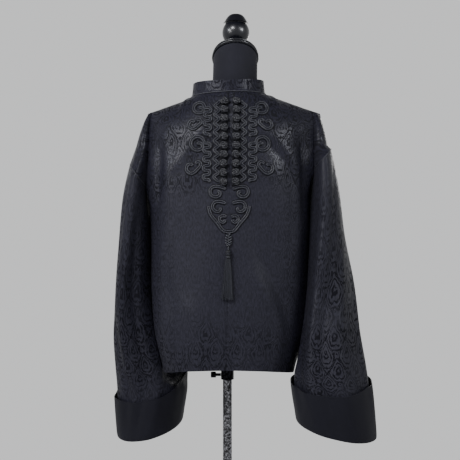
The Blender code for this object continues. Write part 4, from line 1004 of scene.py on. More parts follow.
def damask(name, ground, figure, gloss=0.12):
    """Tone-on-tone damask: a broken dark figure on a lighter ground."""
    shade = Shade(name, Specular_IOR_Level=gloss)
    grain, place = shade.grain(), shade.place()
    x, _, z = shade.split(place)
    side = shade.math("ABSOLUTE", x)
    wobble = shade.noise(grain, 22.0, 2.0)
    u, v, _ = shade.split(grain)
    u = shade.add(u, shade.swing(wobble, WOBBLE[0]))
    v = shade.add(v, shade.swing(wobble, WOBBLE[1]))
    mask = shade.times(damask_figure(shade, grain, u, v), damask_shows(shade, place, side, z))
    # threads: fine twill, slubs across the width, and warp streaks along it
    threads = shade.times(wave_of(shade, shade.add(u, v), THREAD * 3), 0.5)
    slub = shade.noise(grain, 500.0, 1.0)
    streak = shade.noise(shade.join(u, shade.times(v, 0.3)), 330.0, 2.0)
    worn = shade.noise(place, 9.0, 4.0)
    tone = shade.mix(shade.step(streak, 0.30, 0.70), scaled(ground, 0.72), scaled(ground, 1.30))
    tone = shade.mix(mask, tone, figure)
    tone = shade.mix(shade.times(worn, 0.25), tone, scaled(ground, 0.6))
    # the satin is brushed up below the yoke, where it is handled
    rough = shade.add(shade.step(z, *BRUSHED_FADE, *SATIN_ROUGH), shade.times(mask, FIGURE_ROUGH))
    rough = shade.add(rough, shade.swing(worn, 0.20))
    # cloth that faces the middle from far out lies against the body: it is made dull there, and its colour
    # is darkened as painted shade between sleeve and body
    nx, _, _ = shade.split(shade.tree.nodes.new("ShaderNodeNewGeometry").outputs["Normal"])
    facing = shade.times(nx, shade.math("SIGN", x))
    (left_start, right_start), (left_end, right_end) = INNER_STARTS, INNER_ENDS
    start = shade.step(x, -0.01, 0.01, left_start, right_start)
    end = shade.step(x, -0.01, 0.01, left_end, right_end)
    inner = shade.times(shade.step(facing, start, end), shade.step(side, *INNER_FADE))
    # painted shade: inward-facing cloth is mixed towards a dark tone of the ground
    shaded = shade.mix(shade.times(inner, PAINTED_SHADE_SHARE), tone, scaled(ground, 0.35))
    shade.wire("Base Color", shaded)
    shade.wire("Roughness", shade.math("MAXIMUM", rough, inner))
    relief = shade.bump(mask, 0.00045, 1.0)
    shade.wire("Normal", shade.bump(shade.add(threads, slub), 0.00006, 0.7, relief))
    return shade.material


def plain_twill(name, colour):
    shade = Shade(name, colour, 0.62, Sheen_Weight=0.03, Sheen_Roughness=0.5, Specular_IOR_Level=0.10)
    grain = shade.grain()
    u, v, _ = shade.split(grain)
    twill = wave_of(shade, shade.add(u, shade.times(v, 0.8)), THREAD * 4)
    cloud = shade.noise(shade.place(), 14.0, 4.0)
    lint = shade.noise(grain, 900.0, 1.0)
    tone = shade.mix(cloud, scaled(colour, 0.8), scaled(colour, 1.35))
    shade.wire("Base Color", tone)
    shade.wire("Roughness", shade.add(shade.times(cloud, 0.18), 0.52))
    shade.wire("Normal", shade.bump(shade.add(twill, shade.times(lint, 2.0)), 0.00006, 0.6))
    return shade.material


def satin_cord(name, colour, roughness=0.34):
    """Satin rouleau: the grain's first number is how far it faces up, and the second runs along it; sides
    that face away from up are painted near black as shade.
    """
    shade = Shade(name, colour, roughness, Sheen_Weight=0.02, Sheen_Roughness=0.3, Specular_IOR_Level=0.36)
    up, along, _ = shade.split(shade.grain())
    twist = wave_of(shade, shade.add(shade.times(up, CORD_R * 2), along), 0.0016)
    cloud = shade.noise(shade.place(), 120.0, 2.0)
    tone = shade.mix(cloud, scaled(colour, 0.6), scaled(colour, 1.5))
    # painted shade: the sides of a cord or knot that face away from up are darkened to near black, as under
    # and between the cords
    low = shade.step(up, 0.30, 0.85)
    shade.wire("Base Color", shade.mix(low, scaled(colour, 0.05), tone))
    rough = shade.add(shade.times(cloud, 0.22), roughness - 0.08)
    shade.wire("Roughness", shade.add(rough, shade.step(up, 0.30, 0.85, 0.4, 0.0)))
    shade.wire("Normal", shade.bump(twist, 0.00012, 0.6))
    return shade.material


def jersey(name, colour):
    shade = Shade(name, colour, 0.85, Sheen_Weight=0.04, Sheen_Roughness=0.6, Specular_IOR_Level=0.12)
    x, y, z = shade.split(shade.place())
    turn = shade.math("ARCTAN2", y, x)
    knit = shade.times(shade.math("COSINE", shade.times(turn, 300.0)),
                      wave_of(shade, z, 0.0022))
    cloud = shade.noise(shade.place(), 20.0, 4.0)
    shade.wire("Base Color", shade.mix(cloud, scaled(colour, 0.7), scaled(colour, 1.5)))
    shade.wire("Normal", shade.bump(knit, 0.0001, 0.5))
    return shade.material


def lacquer(name, colour):
    shade = Shade(name, colour, 0.16, Coat_Weight=0.15, Coat_Roughness=0.08, Specular_IOR_Level=0.35)
    cloud = shade.noise(shade.place(), 35.0, 5.0)
    shade.wire("Base Color", shade.mix(cloud, colour, scaled(colour, 2.2)))
    shade.wire("Roughness", shade.add(shade.times(cloud, 0.14), 0.24))
    rings = shade.noise(shade.place(), 60.0, 3.0)
    shade.wire("Normal", shade.bump(rings, 0.0002, 0.15))
    return shade.material


def worn_steel(name, colour):
    shade = Shade(name, colour, 0.35, 1.0)
    specks = shade.step(shade.noise(shade.place(), 190.0, 6.0, 0.7), 0.45, 0.60)
    streak = shade.noise(shade.place(), 28.0, 4.0)
    tone = shade.mix(specks, scaled(colour, 0.14), scaled(colour, 2.1))
    shade.wire("Base Color", shade.mix(shade.times(streak, 0.15), tone, colour))
    shade.wire("Roughness", shade.add(shade.times(streak, 0.25), 0.22))
    shade.wire("Normal", shade.bump(specks, 0.0001, 0.3))
    return shade.material


# ---------------------------------------------------------------- the cloth that shows
class Cloth:
    """Outer points and faces of the whole body and both sleeves; corners carry the cloth's grain."""

    def __init__(self):
        self.points = []
        self.index = {}
        self.about = []
        self.faces = []

    def point(self, key, place, about):
        if key not in self.index:
            self.index[key] = len(self.points)
            self.points.append(place)
            self.about.append(about)
        return self.index[key]

    def face(self, piece, corners, grains):
        kept = {}
        for corner, grain in zip(corners, grains):
            kept.setdefault(corner, grain)
        if len(kept) > 2:
            self.faces.append((piece, list(kept), list(kept.values())))


def panel_grain(side, face, p):
    """Place in the cloth, across and along the grain, of a point on a front or back."""
    deep = body_deep(face, min(p.z, YOKE_Z))
    lean = smoothstep((p.z - YOKE_Z) / 0.06)
    turned = max(0.0, deep - abs(p.y))
    out = abs(p.x - seam_x(p.z)) + (1 - lean) * 0.8 * turned
    return side * out, p.z + lean * 0.6 * turned


def sleeve_grain(side, along, angle):
    values = sleeve_values(side, along)
    radius = (values[3] + values[4]) / 2
    return side * (angle - radians(55)) * radius, -along * SLEEVE_LONG


def panel_key(side, face, row, column):
    """Points that two pieces share have one key."""
    if column == 0:
        return ("centre", face, row)
    if row == 0 and column >= NECK_COLUMNS:
        return ("shoulder", side, column)
    if column == OVERARM:
        return ("overarm", side, row)
    return (side, face, row, column)


def edge_fade(row, column, lower):
    """How far the creases fade towards a piece's sewn edges."""
    fade = smoothstep(row / CAP_ROWS * 1.6)
    if lower:
        fade *= smoothstep((CREASE + SIDE_COLUMNS - column) / SIDE_COLUMNS)
        if column > CREASE - OVER_STEPS:
            fade *= smoothstep((row - ARMHOLE_ROW) / (LOWER_ROWS * 0.3))
    else:
        fade *= smoothstep((OVERARM - column) / (ARM_COLUMNS * 0.6))
        if column > CREASE - OVER_STEPS:
            fade *= smoothstep((ARMHOLE_ROW - row) / ARMHOLE_ROWS)
    return fade


def add_panel(cloth, side, face):
    piece = "%s_%s" % (FACES[face], SIDES[side])

    def corner(row, column, lower):
        fade = edge_fade(row, column, lower)
        if row == ARMHOLE_ROW and column >= CREASE:
            return seam_corner(cloth, side, face, column, lower and column > CREASE)
        if lower and column == CREASE + SIDE_COLUMNS:
            key = ("side_seam", side, row)
        else:
            key = panel_key(side, face, row, column) + (("lower",) if lower and column > CREASE else ())
        if key not in cloth.index:
            cloth.point(key, panel_point(side, face, row, column), ("panel", face, fade))
        return cloth.index[key]

    def quad(row, column, lower):
        corners = [corner(row, column, lower), corner(row, column + 1, lower),
                   corner(row + 1, column + 1, lower), corner(row + 1, column, lower)]
        cloth.face(piece, corners, [panel_grain(side, face, cloth.points[i]) for i in corners])

    for row in range(ARMHOLE_ROW):
        for column in range(OVERARM):
            quad(row, column, False)
    for row in range(ARMHOLE_ROW, HEM_ROW):
        for column in range(CREASE + SIDE_COLUMNS):
            quad(row, column, True)


def seam_corner(cloth, side, face, column, lower):
    """A point of the armhole seam, shared by the panels and the sleeve."""
    if lower:
        angle = lerp(SEAM_CREASE_ANGLE, pi, (column - CREASE) / SIDE_COLUMNS)
    else:
        angle = arm_angle(column, SEAM_CREASE_ANGLE)
    return armhole_corner(cloth, side, angle if face == BACK else 2 * pi - angle)


def armhole_key(side, angle):
    return ("armhole", side, round(degrees(angle) * 20) % 7200)


def armhole_corner(cloth, side, angle):
    return cloth.point(armhole_key(side, angle), armhole_point(side, angle), ("seam", 0, 0))


def add_sleeve(cloth, side):
    piece = "sleeve_" + SIDES[side]
    rings, turns = [], []
    for row in range(SLEEVE_ROWS + 1):
        along = row / SLEEVE_ROWS
        angles = ring_angles(along)
        turns.append(angles)
        if row == 0:
            rings.append([armhole_corner(cloth, side, angle) for angle in angles])
        else:
            rings.append([cloth.point((piece, row, i), sleeve_point(side, along, angle),
                                      ("sleeve", side, along, angle)) for i, angle in enumerate(angles)])
    count = len(rings[0])
    for row in range(SLEEVE_ROWS):
        for i in range(count):
            j = (i + 1) % count
            corners = [rings[row][i], rings[row][j], rings[row + 1][j], rings[row + 1][i]]
            wrap = 2 * pi if j == 0 else 0
            places = [(row, turns[row][i]), (row, turns[row][j] + wrap),
                      (row + 1, turns[row + 1][j] + wrap), (row + 1, turns[row + 1][i])]
            if turns[row][i] > pi - 0.01:
                places = [(r, angle - 2 * pi) for r, angle in places]
            cloth.face(piece, corners, [sleeve_grain(side, r / SLEEVE_ROWS, angle) for r, angle in places])


def polygon_normal(points):
    total = Vector()
    for a, b in zip(points, points[1:] + points[:1]):
        total += a.cross(b)
    return total


def orient(cloth):
    """Turns every face outwards."""
    work = bmesh.new()
    verts = [work.verts.new(p) for p in cloth.points]
    made = [work.faces.new([verts[i] for i in corners]) for _, corners, _ in cloth.faces]
    bmesh.ops.recalc_face_normals(work, faces=made)
    work.verts.index_update()
    turned = []
    first = made[0].normal.copy()
    flip = first.dot(Vector((0, 0, 1))) < 0
    for (piece, corners, grains), face in zip(cloth.faces, made):
        place = dict(zip(corners, grains))
        order = [v.index for v in face.verts]
        if flip:
            order.reverse()
        turned.append((piece, order, [place[i] for i in order]))
    cloth.faces = turned
    work.free()


def point_normals(cloth):
    normals = [Vector() for _ in cloth.points]
    for _, corners, _ in cloth.faces:
        normal = polygon_normal([cloth.points[i] for i in corners])
        for i in corners:
            normals[i] += normal
    for side in (LEFT, RIGHT):
        under_arm_normals(cloth, normals, side)
    return [n.normalized() for n in normals]


def under_arm_normals(cloth, normals, side):
    """Under the arm the cloth turns back on itself, so its outer side there faces down."""
    for face in (BACK, FRONT):
        for step in range(SIDE_COLUMNS + 1):
            angle = lerp(SEAM_CREASE_ANGLE, pi, step / SIDE_COLUMNS)
            angle = angle if face == BACK else 2 * pi - angle
            along = (armhole_point(side, angle + 0.1) - armhole_point(side, angle - 0.1)).normalized()
            down = Vector((0, 0, -1))
            normals[cloth.index[armhole_key(side, angle)]] = down - along * down.dot(along)


def crease_height(about, p):
    if about[0] == "panel":
        _, face, fade = about
        folds = BODY_FOLDS[face] + FINE_BODY_FOLDS[face]
        out = p.x - seam_x(p.z)
        height = fade * fold_height(folds, out, p.z)
        deep, top = VALLEY[face]
        return height - deep * exp(-(out / VALLEY_WIDE) ** 2) * smoothstep((top - p.z) / 0.03)
    if about[0] == "sleeve":
        _, side, along, angle = about
        folds = [(a0 * SLEEVE_LONG, radians(g0) * SLEEVE_ROUND, a1 * SLEEVE_LONG,
                  radians(g1) * SLEEVE_ROUND, width, height)
                 for a0, g0, a1, g1, width, height in SLEEVE_FOLDS[side] + FINE_SLEEVE_FOLDS[side]]
        total = sum(fold_height(folds, along * SLEEVE_LONG, turn * SLEEVE_ROUND)
                    for turn in (angle - 2 * pi, angle, angle + 2 * pi))
        return smoothstep(along * 8) * total
    return 0.0


def build_fine_cloth():
    cloth = Cloth()
    for side in (LEFT, RIGHT):
        for face in (BACK, FRONT):
            add_panel(cloth, side, face)
        add_sleeve(cloth, side)
    orient(cloth)
    normals = point_normals(cloth)
    cloth.points = [p + n * crease_height(about, p)
                    for p, n, about in zip(cloth.points, normals, cloth.about)]
    return cloth, point_normals(cloth)


def finish_mesh(name, points, faces, look, grains=None, sharp=50):
    """A named object; grains gives each face corner's place in the cloth."""
    mesh = bpy.data.meshes.new(name)
    mesh.from_pydata([tuple(p) for p in points], [], faces)
    if grains:
        layer = mesh.attributes.new("grain", "FLOAT_VECTOR", "CORNER")
        flat = []
        for face_grains in grains:
            for u, v in face_grains:
                flat += (u, v, 0.0)
        layer.data.foreach_set("vector", flat)
    mesh.materials.append(look)
    mesh.shade_smooth()
    mesh.set_sharp_from_angle(angle=radians(sharp))
    made = bpy.data.objects.new(name, mesh)
    bpy.context.collection.objects.link(made)
    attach(made, "root")
    return made


def open_edges(faces):
    edges = {(a, b) for corners in faces for a, b in zip(corners, corners[1:] + corners[:1])}
    return [(a, b) for a, b in edges if (b, a) not in edges]


def shell(name, points, normals, faces, grains, thick, look, lining=None):
    """A thin closed shell: the outer side, the same faces moved in with their lining, and a rim."""
    used = sorted({i for corners in faces for i in corners})
    place = {old: new for new, old in enumerate(used)}
    outer = [points[i].copy() for i in used]
    local = [[place[i] for i in corners] for corners in faces]
    rim_edges = open_edges(local)
    grain_at = {}
    for corners, values in zip(local, grains):
        for i, value in zip(corners, values):
            grain_at.setdefault(i, value)
    pull(outer, [normals[i] for i in used], rim_edges)
    inner = [p - normals[i] * thick for p, i in zip(outer, used)]
    count = len(used)
    back = [[i + count for i in reversed(corners)] for corners in local]
    rim = [[b, a, a + count, b + count] for a, b in sorted(rim_edges)]
    all_grains = grains + [list(reversed(values)) for values in grains]
    all_grains += [[grain_at[b], grain_at[a], grain_at[a], grain_at[b]] for a, b in sorted(rim_edges)]
    made = finish_mesh(name, outer + inner, local + back + rim, look, all_grains)
    if lining:
        made.data.materials.append(lining)
        for face in made.data.polygons[len(local):len(local) * 2]:
            face.material_index = 1
    return made


def pull(points, normals, edges):
    """Draws a piece's edges in by half a seam's gap, along the surface."""
    inward = {}
    for a, b in edges:
        along = (points[b] - points[a]).normalized()
        for i in (a, b):
            inward.setdefault(i, []).append(normals[i].cross(along).normalized())
    for i, directions in inward.items():
        points[i] += sum(directions, Vector()).normalized() * SEAM_GAP * 0.6


def show_cloth(cloth, normals, look, lining):
    made = {}
    for piece in dict.fromkeys(piece for piece, _, _ in cloth.faces):
        faces = [corners for name, corners, _ in cloth.faces if name == piece]
        grains = [values for name, _, values in cloth.faces if name == piece]
        made[piece] = shell("shown_" + piece, cloth.points, normals, faces, grains, SHELL, look, lining)
        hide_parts(piece)
    return made


def grid_shell(name, rows, grain_rows, thick, look, closed):
    """A shell from rows of points; closed joins each row's ends."""
    points, faces, grains, width = [p for row in rows for p in row], [], [], len(rows[0])
    flat = [g for row in grain_rows for g in row]
    for r in range(len(rows) - 1):
        for c in range(width if closed else width - 1):
            d = (c + 1) % width
            corners = [r * width + c, r * width + d, (r + 1) * width + d, (r + 1) * width + c]
            faces.append(corners)
            values = [flat[i] for i in corners]
            if d == 0:
                step = flat[r * width + c][0] - flat[r * width + c - 1][0]
                values[1] = (values[0][0] + step, values[1][1])
                values[2] = (values[3][0] + step, values[2][1])
            grains.append(values)
    normals = [Vector() for _ in points]
    for corners in faces:
        normal = polygon_normal([points[i] for i in corners])
        for i in corners:
            normals[i] += normal
    normals = [n.normalized() for n in normals]
    middle = sum(points, Vector()) / len(points)
    if normals[0].dot(points[0] - middle) < 0:
        normals = [-n for n in normals]
        faces = [corners[::-1] for corners in faces]
        grains = [values[::-1] for values in grains]
    return shell(name, points, normals, faces, grains, thick, look)


def up_line(cloth, normals, line, up, off):
    """A point at a distance up a line of the sleeve from its lower end, moved off the sleeve."""
    walked = 0
    for a, b in zip(line, line[1:]):
        step = cloth.points[b] - cloth.points[a]
        if up <= walked + step.length:
            break
        walked += step.length
    share = (up - walked) / step.length
    normal = normals[a].lerp(normals[b], max(share, 0)).normalized()
    return cloth.points[a] + step * share + normal * off


def cuff_path():
    """The turned cuff's path through its table, as a smooth curve."""
    path = [between(CUFF_PATH, i, k / CUFF_STEPS)
            for i in range(len(CUFF_PATH) - 1) for k in range(CUFF_STEPS)]
    return path + [CUFF_PATH[-1]]


def show_cuff(cloth, normals, side, look):
    name = SIDES[side]
    mean, outside, behind = CUFF_HEIGHT[side]
    path, columns, grains = cuff_path(), [], []
    angles = ring_angles(1.0)
    for i, angle in enumerate(angles):
        line = [cloth.index[("sleeve_" + name, row, i)] for row in range(SLEEVE_ROWS, 0, -1)]
        ripple = CUFF_RIPPLE * sin(3 * angle + side) + CUFF_RIPPLE * 0.6 * sin(7 * angle)
        high = mean + outside * cos(angle) + behind * sin(angle) + ripple
        columns.append([up_line(cloth, normals, line, up * high - below, off + ripple * 0.5 * up)
                        for up, below, off in path])
        grains.append([(angle * SLEEVE_ROUND, up * high) for up, _, _ in path])
    rows = [list(row) for row in zip(*columns)]
    grain_rows = [list(row) for row in zip(*grains)]
    made = grid_shell("shown_cuff_" + name, rows, grain_rows, CUFF_CLOTH, look, True)
    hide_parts("cuff_" + name)
    return made


def collar_loop():
    """Places round the neck, from one end of the collar to the other: side, face and turn."""
    out = [t / COLLAR_STEPS for t in range(COLLAR_STEPS)]
    back = [1 - t / COLLAR_STEPS for t in range(COLLAR_STEPS + 1)]
    return ([(LEFT, FRONT, turn) for turn in out] + [(LEFT, BACK, turn) for turn in back[:-1]]
            + [(RIGHT, BACK, turn) for turn in out] + [(RIGHT, FRONT, turn) for turn in back])


def show_collar(look):
    loop, rows, grain_rows = collar_loop(), [], []
    for k in range(COLLAR_LEVELS + 1):
        level = 1 - k / COLLAR_LEVELS
        rows.append([collar_point(side, face, turn, level) for side, face, turn in loop])
        grain_rows.append([(i * COLLAR_GRAIN / COLLAR_STEPS, level * COLLAR_SIDE_HEIGHT + 0.01)
                           for i in range(len(loop))])
    # the seam at its foot stands proud
    for row, proud in COLLAR_FOOT:
        middle = sum(rows[row], Vector()) / len(rows[row])
        rows[row] = [p + Vector((p.x - middle.x, p.y - middle.y, 0)).normalized() * proud for p in rows[row]]
    made = grid_shell("shown_collar", rows, grain_rows, COLLAR_CLOTH, look, False)
    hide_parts("collar")
    return made


def show_seams(cloth, normals, look):
    """The cloth turned in along the armholes and at the collar's foot, as a fine ridge; its lighter colour
    is a painted highlight along the ridge.
    """
    strands = Strands()
    for side in (LEFT, RIGHT):
        keys = sorted(key for key in cloth.index if key[0] == "armhole" and key[1] == side)
        ring = [cloth.index[key] for key in keys]
        strands.tube([cloth.points[i] + normals[i] * 0.0001 for i in ring], SEAM_RIDGE,
                     [normals[i] for i in ring], 6, True)
    foot = [collar_point(side, face, turn, 0.0) for side, face, turn in collar_loop()]
    middle = sum(foot, Vector()) / len(foot)
    outs = [Vector((p.x - middle.x, p.y - middle.y, 0)).normalized() for p in foot]
    strands.tube([p + out * 0.0015 for p, out in zip(foot, outs)], SEAM_RIDGE * 1.6, outs, 6)
    made = finish_mesh("shown_seams", strands.points, strands.faces, look, strands.grains, 60)
    return made


# ---------------------------------------------------------------- cords, knots and tassels
class Strands:
    """Many tubes in one mesh."""

    def __init__(self):
        self.points, self.faces, self.grains = [], [], []

    def tube(self, path, radius, ups, sides=8, closed=False):
        """A tube along a path; its grain is how far each side faces up and the length along it."""
        count = len(path)
        ahead = [(path[(i + 1) % count] - path[i - 1]) if closed else
                 (path[min(i + 1, count - 1)] - path[max(i - 1, 0)]) for i in range(count)]
        across = ahead[0].normalized().orthogonal().normalized()
        first, heights = len(self.points), []
        for i, (p, along) in enumerate(zip(path, ahead)):
            along = along.normalized()
            across = (across - along * across.dot(along)).normalized()
            third = along.cross(across)
            up = ups[i] if isinstance(ups, list) else ups
            for k in range(sides):
                turn = 2 * pi * k / sides
                arm = across * cos(turn) + third * sin(turn)
                self.points.append(p + arm * radius)
                heights.append(0.5 + 0.5 * arm.dot(up))
        lengths = [0.0]
        for a, b in zip(path, path[1:]):
            lengths.append(lengths[-1] + (b - a).length)
        for i in range(count if closed else count - 1):
            j = (i + 1) % count
            start, end = lengths[i], lengths[i] + (path[j] - path[i]).length
            for k in range(sides):
                n = (k + 1) % sides
                self.faces.append([first + i * sides + k, first + i * sides + n,
                                   first + j * sides + n, first + j * sides + k])
                self.grains.append([(heights[i * sides + k], start), (heights[i * sides + n], start),
                                    (heights[j * sides + n], end), (heights[j * sides + k], end)])
        if not closed:
            for ring, order in ((0, -1), (count - 1, 1)):
                cap = [first + ring * sides + k for k in range(sides)][::order]
                self.faces.append(cap)
                self.grains.append([(0.5, 0.0)] * sides)

    def ball(self, middle, axis, radius, deep, count=14, bands=8):
        """A flattened ball, whose faces the cord looks paint as full shade through their grain."""
        axis = axis.normalized()
        across = axis.orthogonal().normalized()
        third = axis.cross(across)
        first = len(self.points)
        self.points.append(middle - axis * deep)
        for band in range(1, bands):
            lift = -cos(pi * band / bands)
            wide = sqrt(1 - lift * lift)
            for k in range(count):
                turn = 2 * pi * k / count
                arm = across * cos(turn) + third * sin(turn)
                self.points.append(middle + axis * deep * lift + arm * radius * wide)
        self.points.append(middle + axis * deep)
        last = len(self.points) - 1
        for k in range(count):
            n = (k + 1) % count
            self.face([first, first + 1 + n, first + 1 + k])
            for band in range(bands - 2):
                low = first + 1 + band * count
                self.face([low + k, low + n, low + count + n, low + count + k])
            low = first + 1 + (bands - 2) * count
            self.face([low + k, low + n, last])

    def face(self, corners):
        self.faces.append(corners)
        # the grain (0, 0) marks a side facing fully away, which the cord looks paint as full shade
        self.grains.append([(0.0, 0.0)] * len(corners))

    def make(self, name, look, *nodes):
        made = finish_mesh(name, self.points, self.faces, look, self.grains, 60)
        if nodes:
            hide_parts(*nodes)
        return made


class Laid:
    """Finds points on the outer side of the fronts or the backs, as seen along Y."""

    def __init__(self, cloth, face):
        self.face = face
        corners = [c for name, c, _ in cloth.faces if name.startswith(FACES[face])]
        self.tree = BVHTree.FromPolygons(cloth.points, corners)

    def hit(self, x, z):
        start = Vector((x, self.face, z))
        place, normal, _, _ = self.tree.ray_cast(start, Vector((0, -self.face, 0)))
        return place, normal if normal.y * self.face > 0 else -normal

    def off(self, x, z, away):
        """The point at (x, z) moved out along the cloth's smoothed normal."""
        place, _ = self.hit(x, z)
        around = [self.hit(x, z + step)[1] for step in (-BAND_WIDE, 0, BAND_WIDE)]
        return place + sum(around, Vector()).normalized() * away


def fine_wave(middle, half, bottom, top, level):
    count = round((top - bottom) / (0.0006 if level else 0.0009))
    points = []
    for i in range(count + 1):
        z = lerp(bottom, top, i / count)
        turn = 2 * pi * (KNOT_TOP - z) / KNOT_PITCH
        points.append((middle - half * cos(turn), z - level * sin(2 * turn)))
    return points


def smooth_path(path, passes):
    """Evens out a path's corners, its ends kept."""
    for _ in range(passes):
        path = [path[0]] + [tuple((a + 2 * b + c) / 4 for a, b, c in zip(p, q, r))
                            for p, q, r in zip(path, path[1:], path[2:])] + [path[-1]]
    return path


def shown_paths():
    paths = {name: fine_wave(*values) for name, values in WAVES.items()}
    for name, values in SCROLLS.items():
        paths[name] = smooth_path(paths.get(name, []) + walk(*values), 6)
    return paths


def band_of_cords(strands, laid, path):
    """Two cords side by side along a path on the cloth."""
    places = [laid.hit(x, z)[1] for x, z in path]
    reach = 6
    ups = [sum(places[max(i - reach, 0):i + reach + 1], Vector()).normalized() for i in range(len(path))]
    for lane in (-0.5, 0.5):
        line = []
        for i, (x, z) in enumerate(path):
            before, after = path[max(i - 1, 0)], path[min(i + 1, len(path) - 1)]
            along = Vector((after[0] - before[0], after[1] - before[1])).normalized()
            ends = min(i, len(path) - 1 - i) / 3
            spread = CORD_PITCH * lane * min(1.0, 0.45 + 0.55 * ends)
            place, _ = laid.hit(x - along.y * spread, z + along.x * spread)
            line.append(place + ups[i] * CORD_R * 0.9)
        strands.tube(line, CORD_R, ups, 8)


def painted_shadow_strip(strip, laid, path, half):
    """A thin dark closed strip under the cords, standing for their shadow on the cloth: painted shadow."""
    first, last = len(strip.points), len(path) - 1
    for i, (x, z) in enumerate(path):
        before, after = path[max(i - 1, 0)], path[min(i + 1, last)]
        along = Vector((after[0] - before[0], after[1] - before[1])).normalized()
        for share, off in ((-1, 0.0002), (0, 0.0006), (1, 0.0002), (0, -0.0002)):
            place, normal = laid.hit(x - along.y * half * share, z + along.x * half * share)
            strip.points.append(place + normal * off)
    for i in range(last):
        for k in range(4):
            a, b = first + i * 4 + k, first + i * 4 + (k + 1) % 4
            strip.face([a, a + 4, b + 4, b])
    strip.face([first + k for k in range(4)])
    strip.face([first + last * 4 + k for k in (3, 2, 1, 0)])


def show_cords(laid, look, dark):
    strip = Strands()
    for side, hand in SIDES.items():
        strands = Strands()
        names = []
        for name, path in shown_paths().items():
            band_of_cords(strands, laid, mirrored(path, side))
            # a dark strip under each band, as painted shadow
            painted_shadow_strip(strip, laid, mirrored(path, side)[::3], SHADE_WIDE)
            names.append("cord_%s_%s" % (name, hand))
        strands.make("shown_cords_" + hand, look, *names)
        # a dark strip under each row of knots, as painted shadow
        above, step, points = KNOT_SHADOW_STRIP
        knots = [(KNOT_OUT, KNOT_TOP + above - i * step) for i in range(points)]
        painted_shadow_strip(strip, laid, mirrored(knots, side), KNOT_SHADOW_HALF)
    half = walk(*VEE)
    vee = smooth_path(mirrored(half, LEFT) + mirrored(half[::-1], RIGHT), 6)
    strands = Strands()
    band_of_cords(strands, laid, vee)
    painted_shadow_strip(strip, laid, vee[::3], SHADE_WIDE)
    strands.make("shown_cord_vee", look, "cord_vee")
    strip.make("shown_backing", dark)


def ball_knot(strands, middle, out, radius, deep, spin):
    """A turk's head of three leads and four bights, drawn up over a core painted near black as the shade
    inside the knot.
    """
    strands.ball(middle, out, radius * KNOT_CORE[0], deep * KNOT_CORE[1])
    up = Vector((0, 0, 1))
    up = (up - out * up.dot(out)).normalized()
    side = up.cross(out)
    path, ups = [], []
    for k in range(KNOT_POINTS):
        turn = 6 * pi * k / KNOT_POINTS
        bight = 4 * turn / 3
        reach = radius * (KNOT_REACH[0] + KNOT_REACH[1] * cos(bight))
        height = deep * (KNOT_DOME[0] * cos(pi / 2 * reach / radius) - KNOT_DOME[1])
        height += radius * KNOT_WEAVE * sin(2 * bight)
        p = (up * cos(turn + spin) + side * sin(turn + spin)) * reach + out * height
        path.append(middle + p)
        ups.append((p + out * deep * 0.6).normalized())
    strands.tube(path, radius * KNOT_CORD, ups, 8, True)


def show_knots(laid, look):
    strands, names = Strands(), []
    for side, hand in SIDES.items():
        for row in range(KNOT_ROWS):
            z = KNOT_TOP - row * KNOT_PITCH
            deep = KNOT_BALL_R * KNOT_FLAT
            middle = laid.off(seam_x(z) + side * KNOT_OUT, z, deep)
            _, out = laid.hit(middle.x, z)
            tilt = Vector((KNOT_TILT[0] * sin(row * 2.1 + side), 0,
                           KNOT_TILT[1] * cos(row * 1.7)))
            spin = side * (KNOT_SPIN[0] + KNOT_SPIN[1] * row)
            ball_knot(strands, middle, (out + tilt).normalized(), KNOT_SHOWN_R, deep, spin)
            names.append("knot_%s_%02d" % (hand, row + 1))
    return strands.make("shown_knots", look, *names)


def show_braid(laid, look):
    """Three cords plaited between the scrolls and the tassel."""
    strands = Strands()
    top, bottom = BRAID[0][0] + 0.003, BRAID[-1][0]
    for lane in range(BRAID_CORDS):
        line = []
        for i in range(BRAID_POINTS + 1):
            z = lerp(top, bottom, i / BRAID_POINTS)
            turn = 2 * pi * (i / BRAID_POINTS * BRAID_TURNS + lane / BRAID_CORDS)
            narrow = min(1.0, 0.35 + 2.6 * min(i, BRAID_POINTS - i) / BRAID_POINTS)
            x = seam_x(z) + BRAID_HALF * narrow * cos(turn)
            line.append(laid.off(x, z, CORD_R * (1.6 + 0.9 * sin(2 * turn))))
        strands.tube(line, CORD_R * 1.15, Vector((0, BACK, 0)), 8)
    # the cord that the tassel hangs from
    hang = []
    for i in range(9):
        z = lerp(bottom + 0.004, TASSEL_HEAD[2][0], i / 8)
        hang.append(laid.off(seam_x(z), z, CORD_R * 1.5))
    strands.tube(hang, CORD_R, Vector((0, BACK, 0)), 8)
    return strands.make("shown_braid", look, "cord_braid")


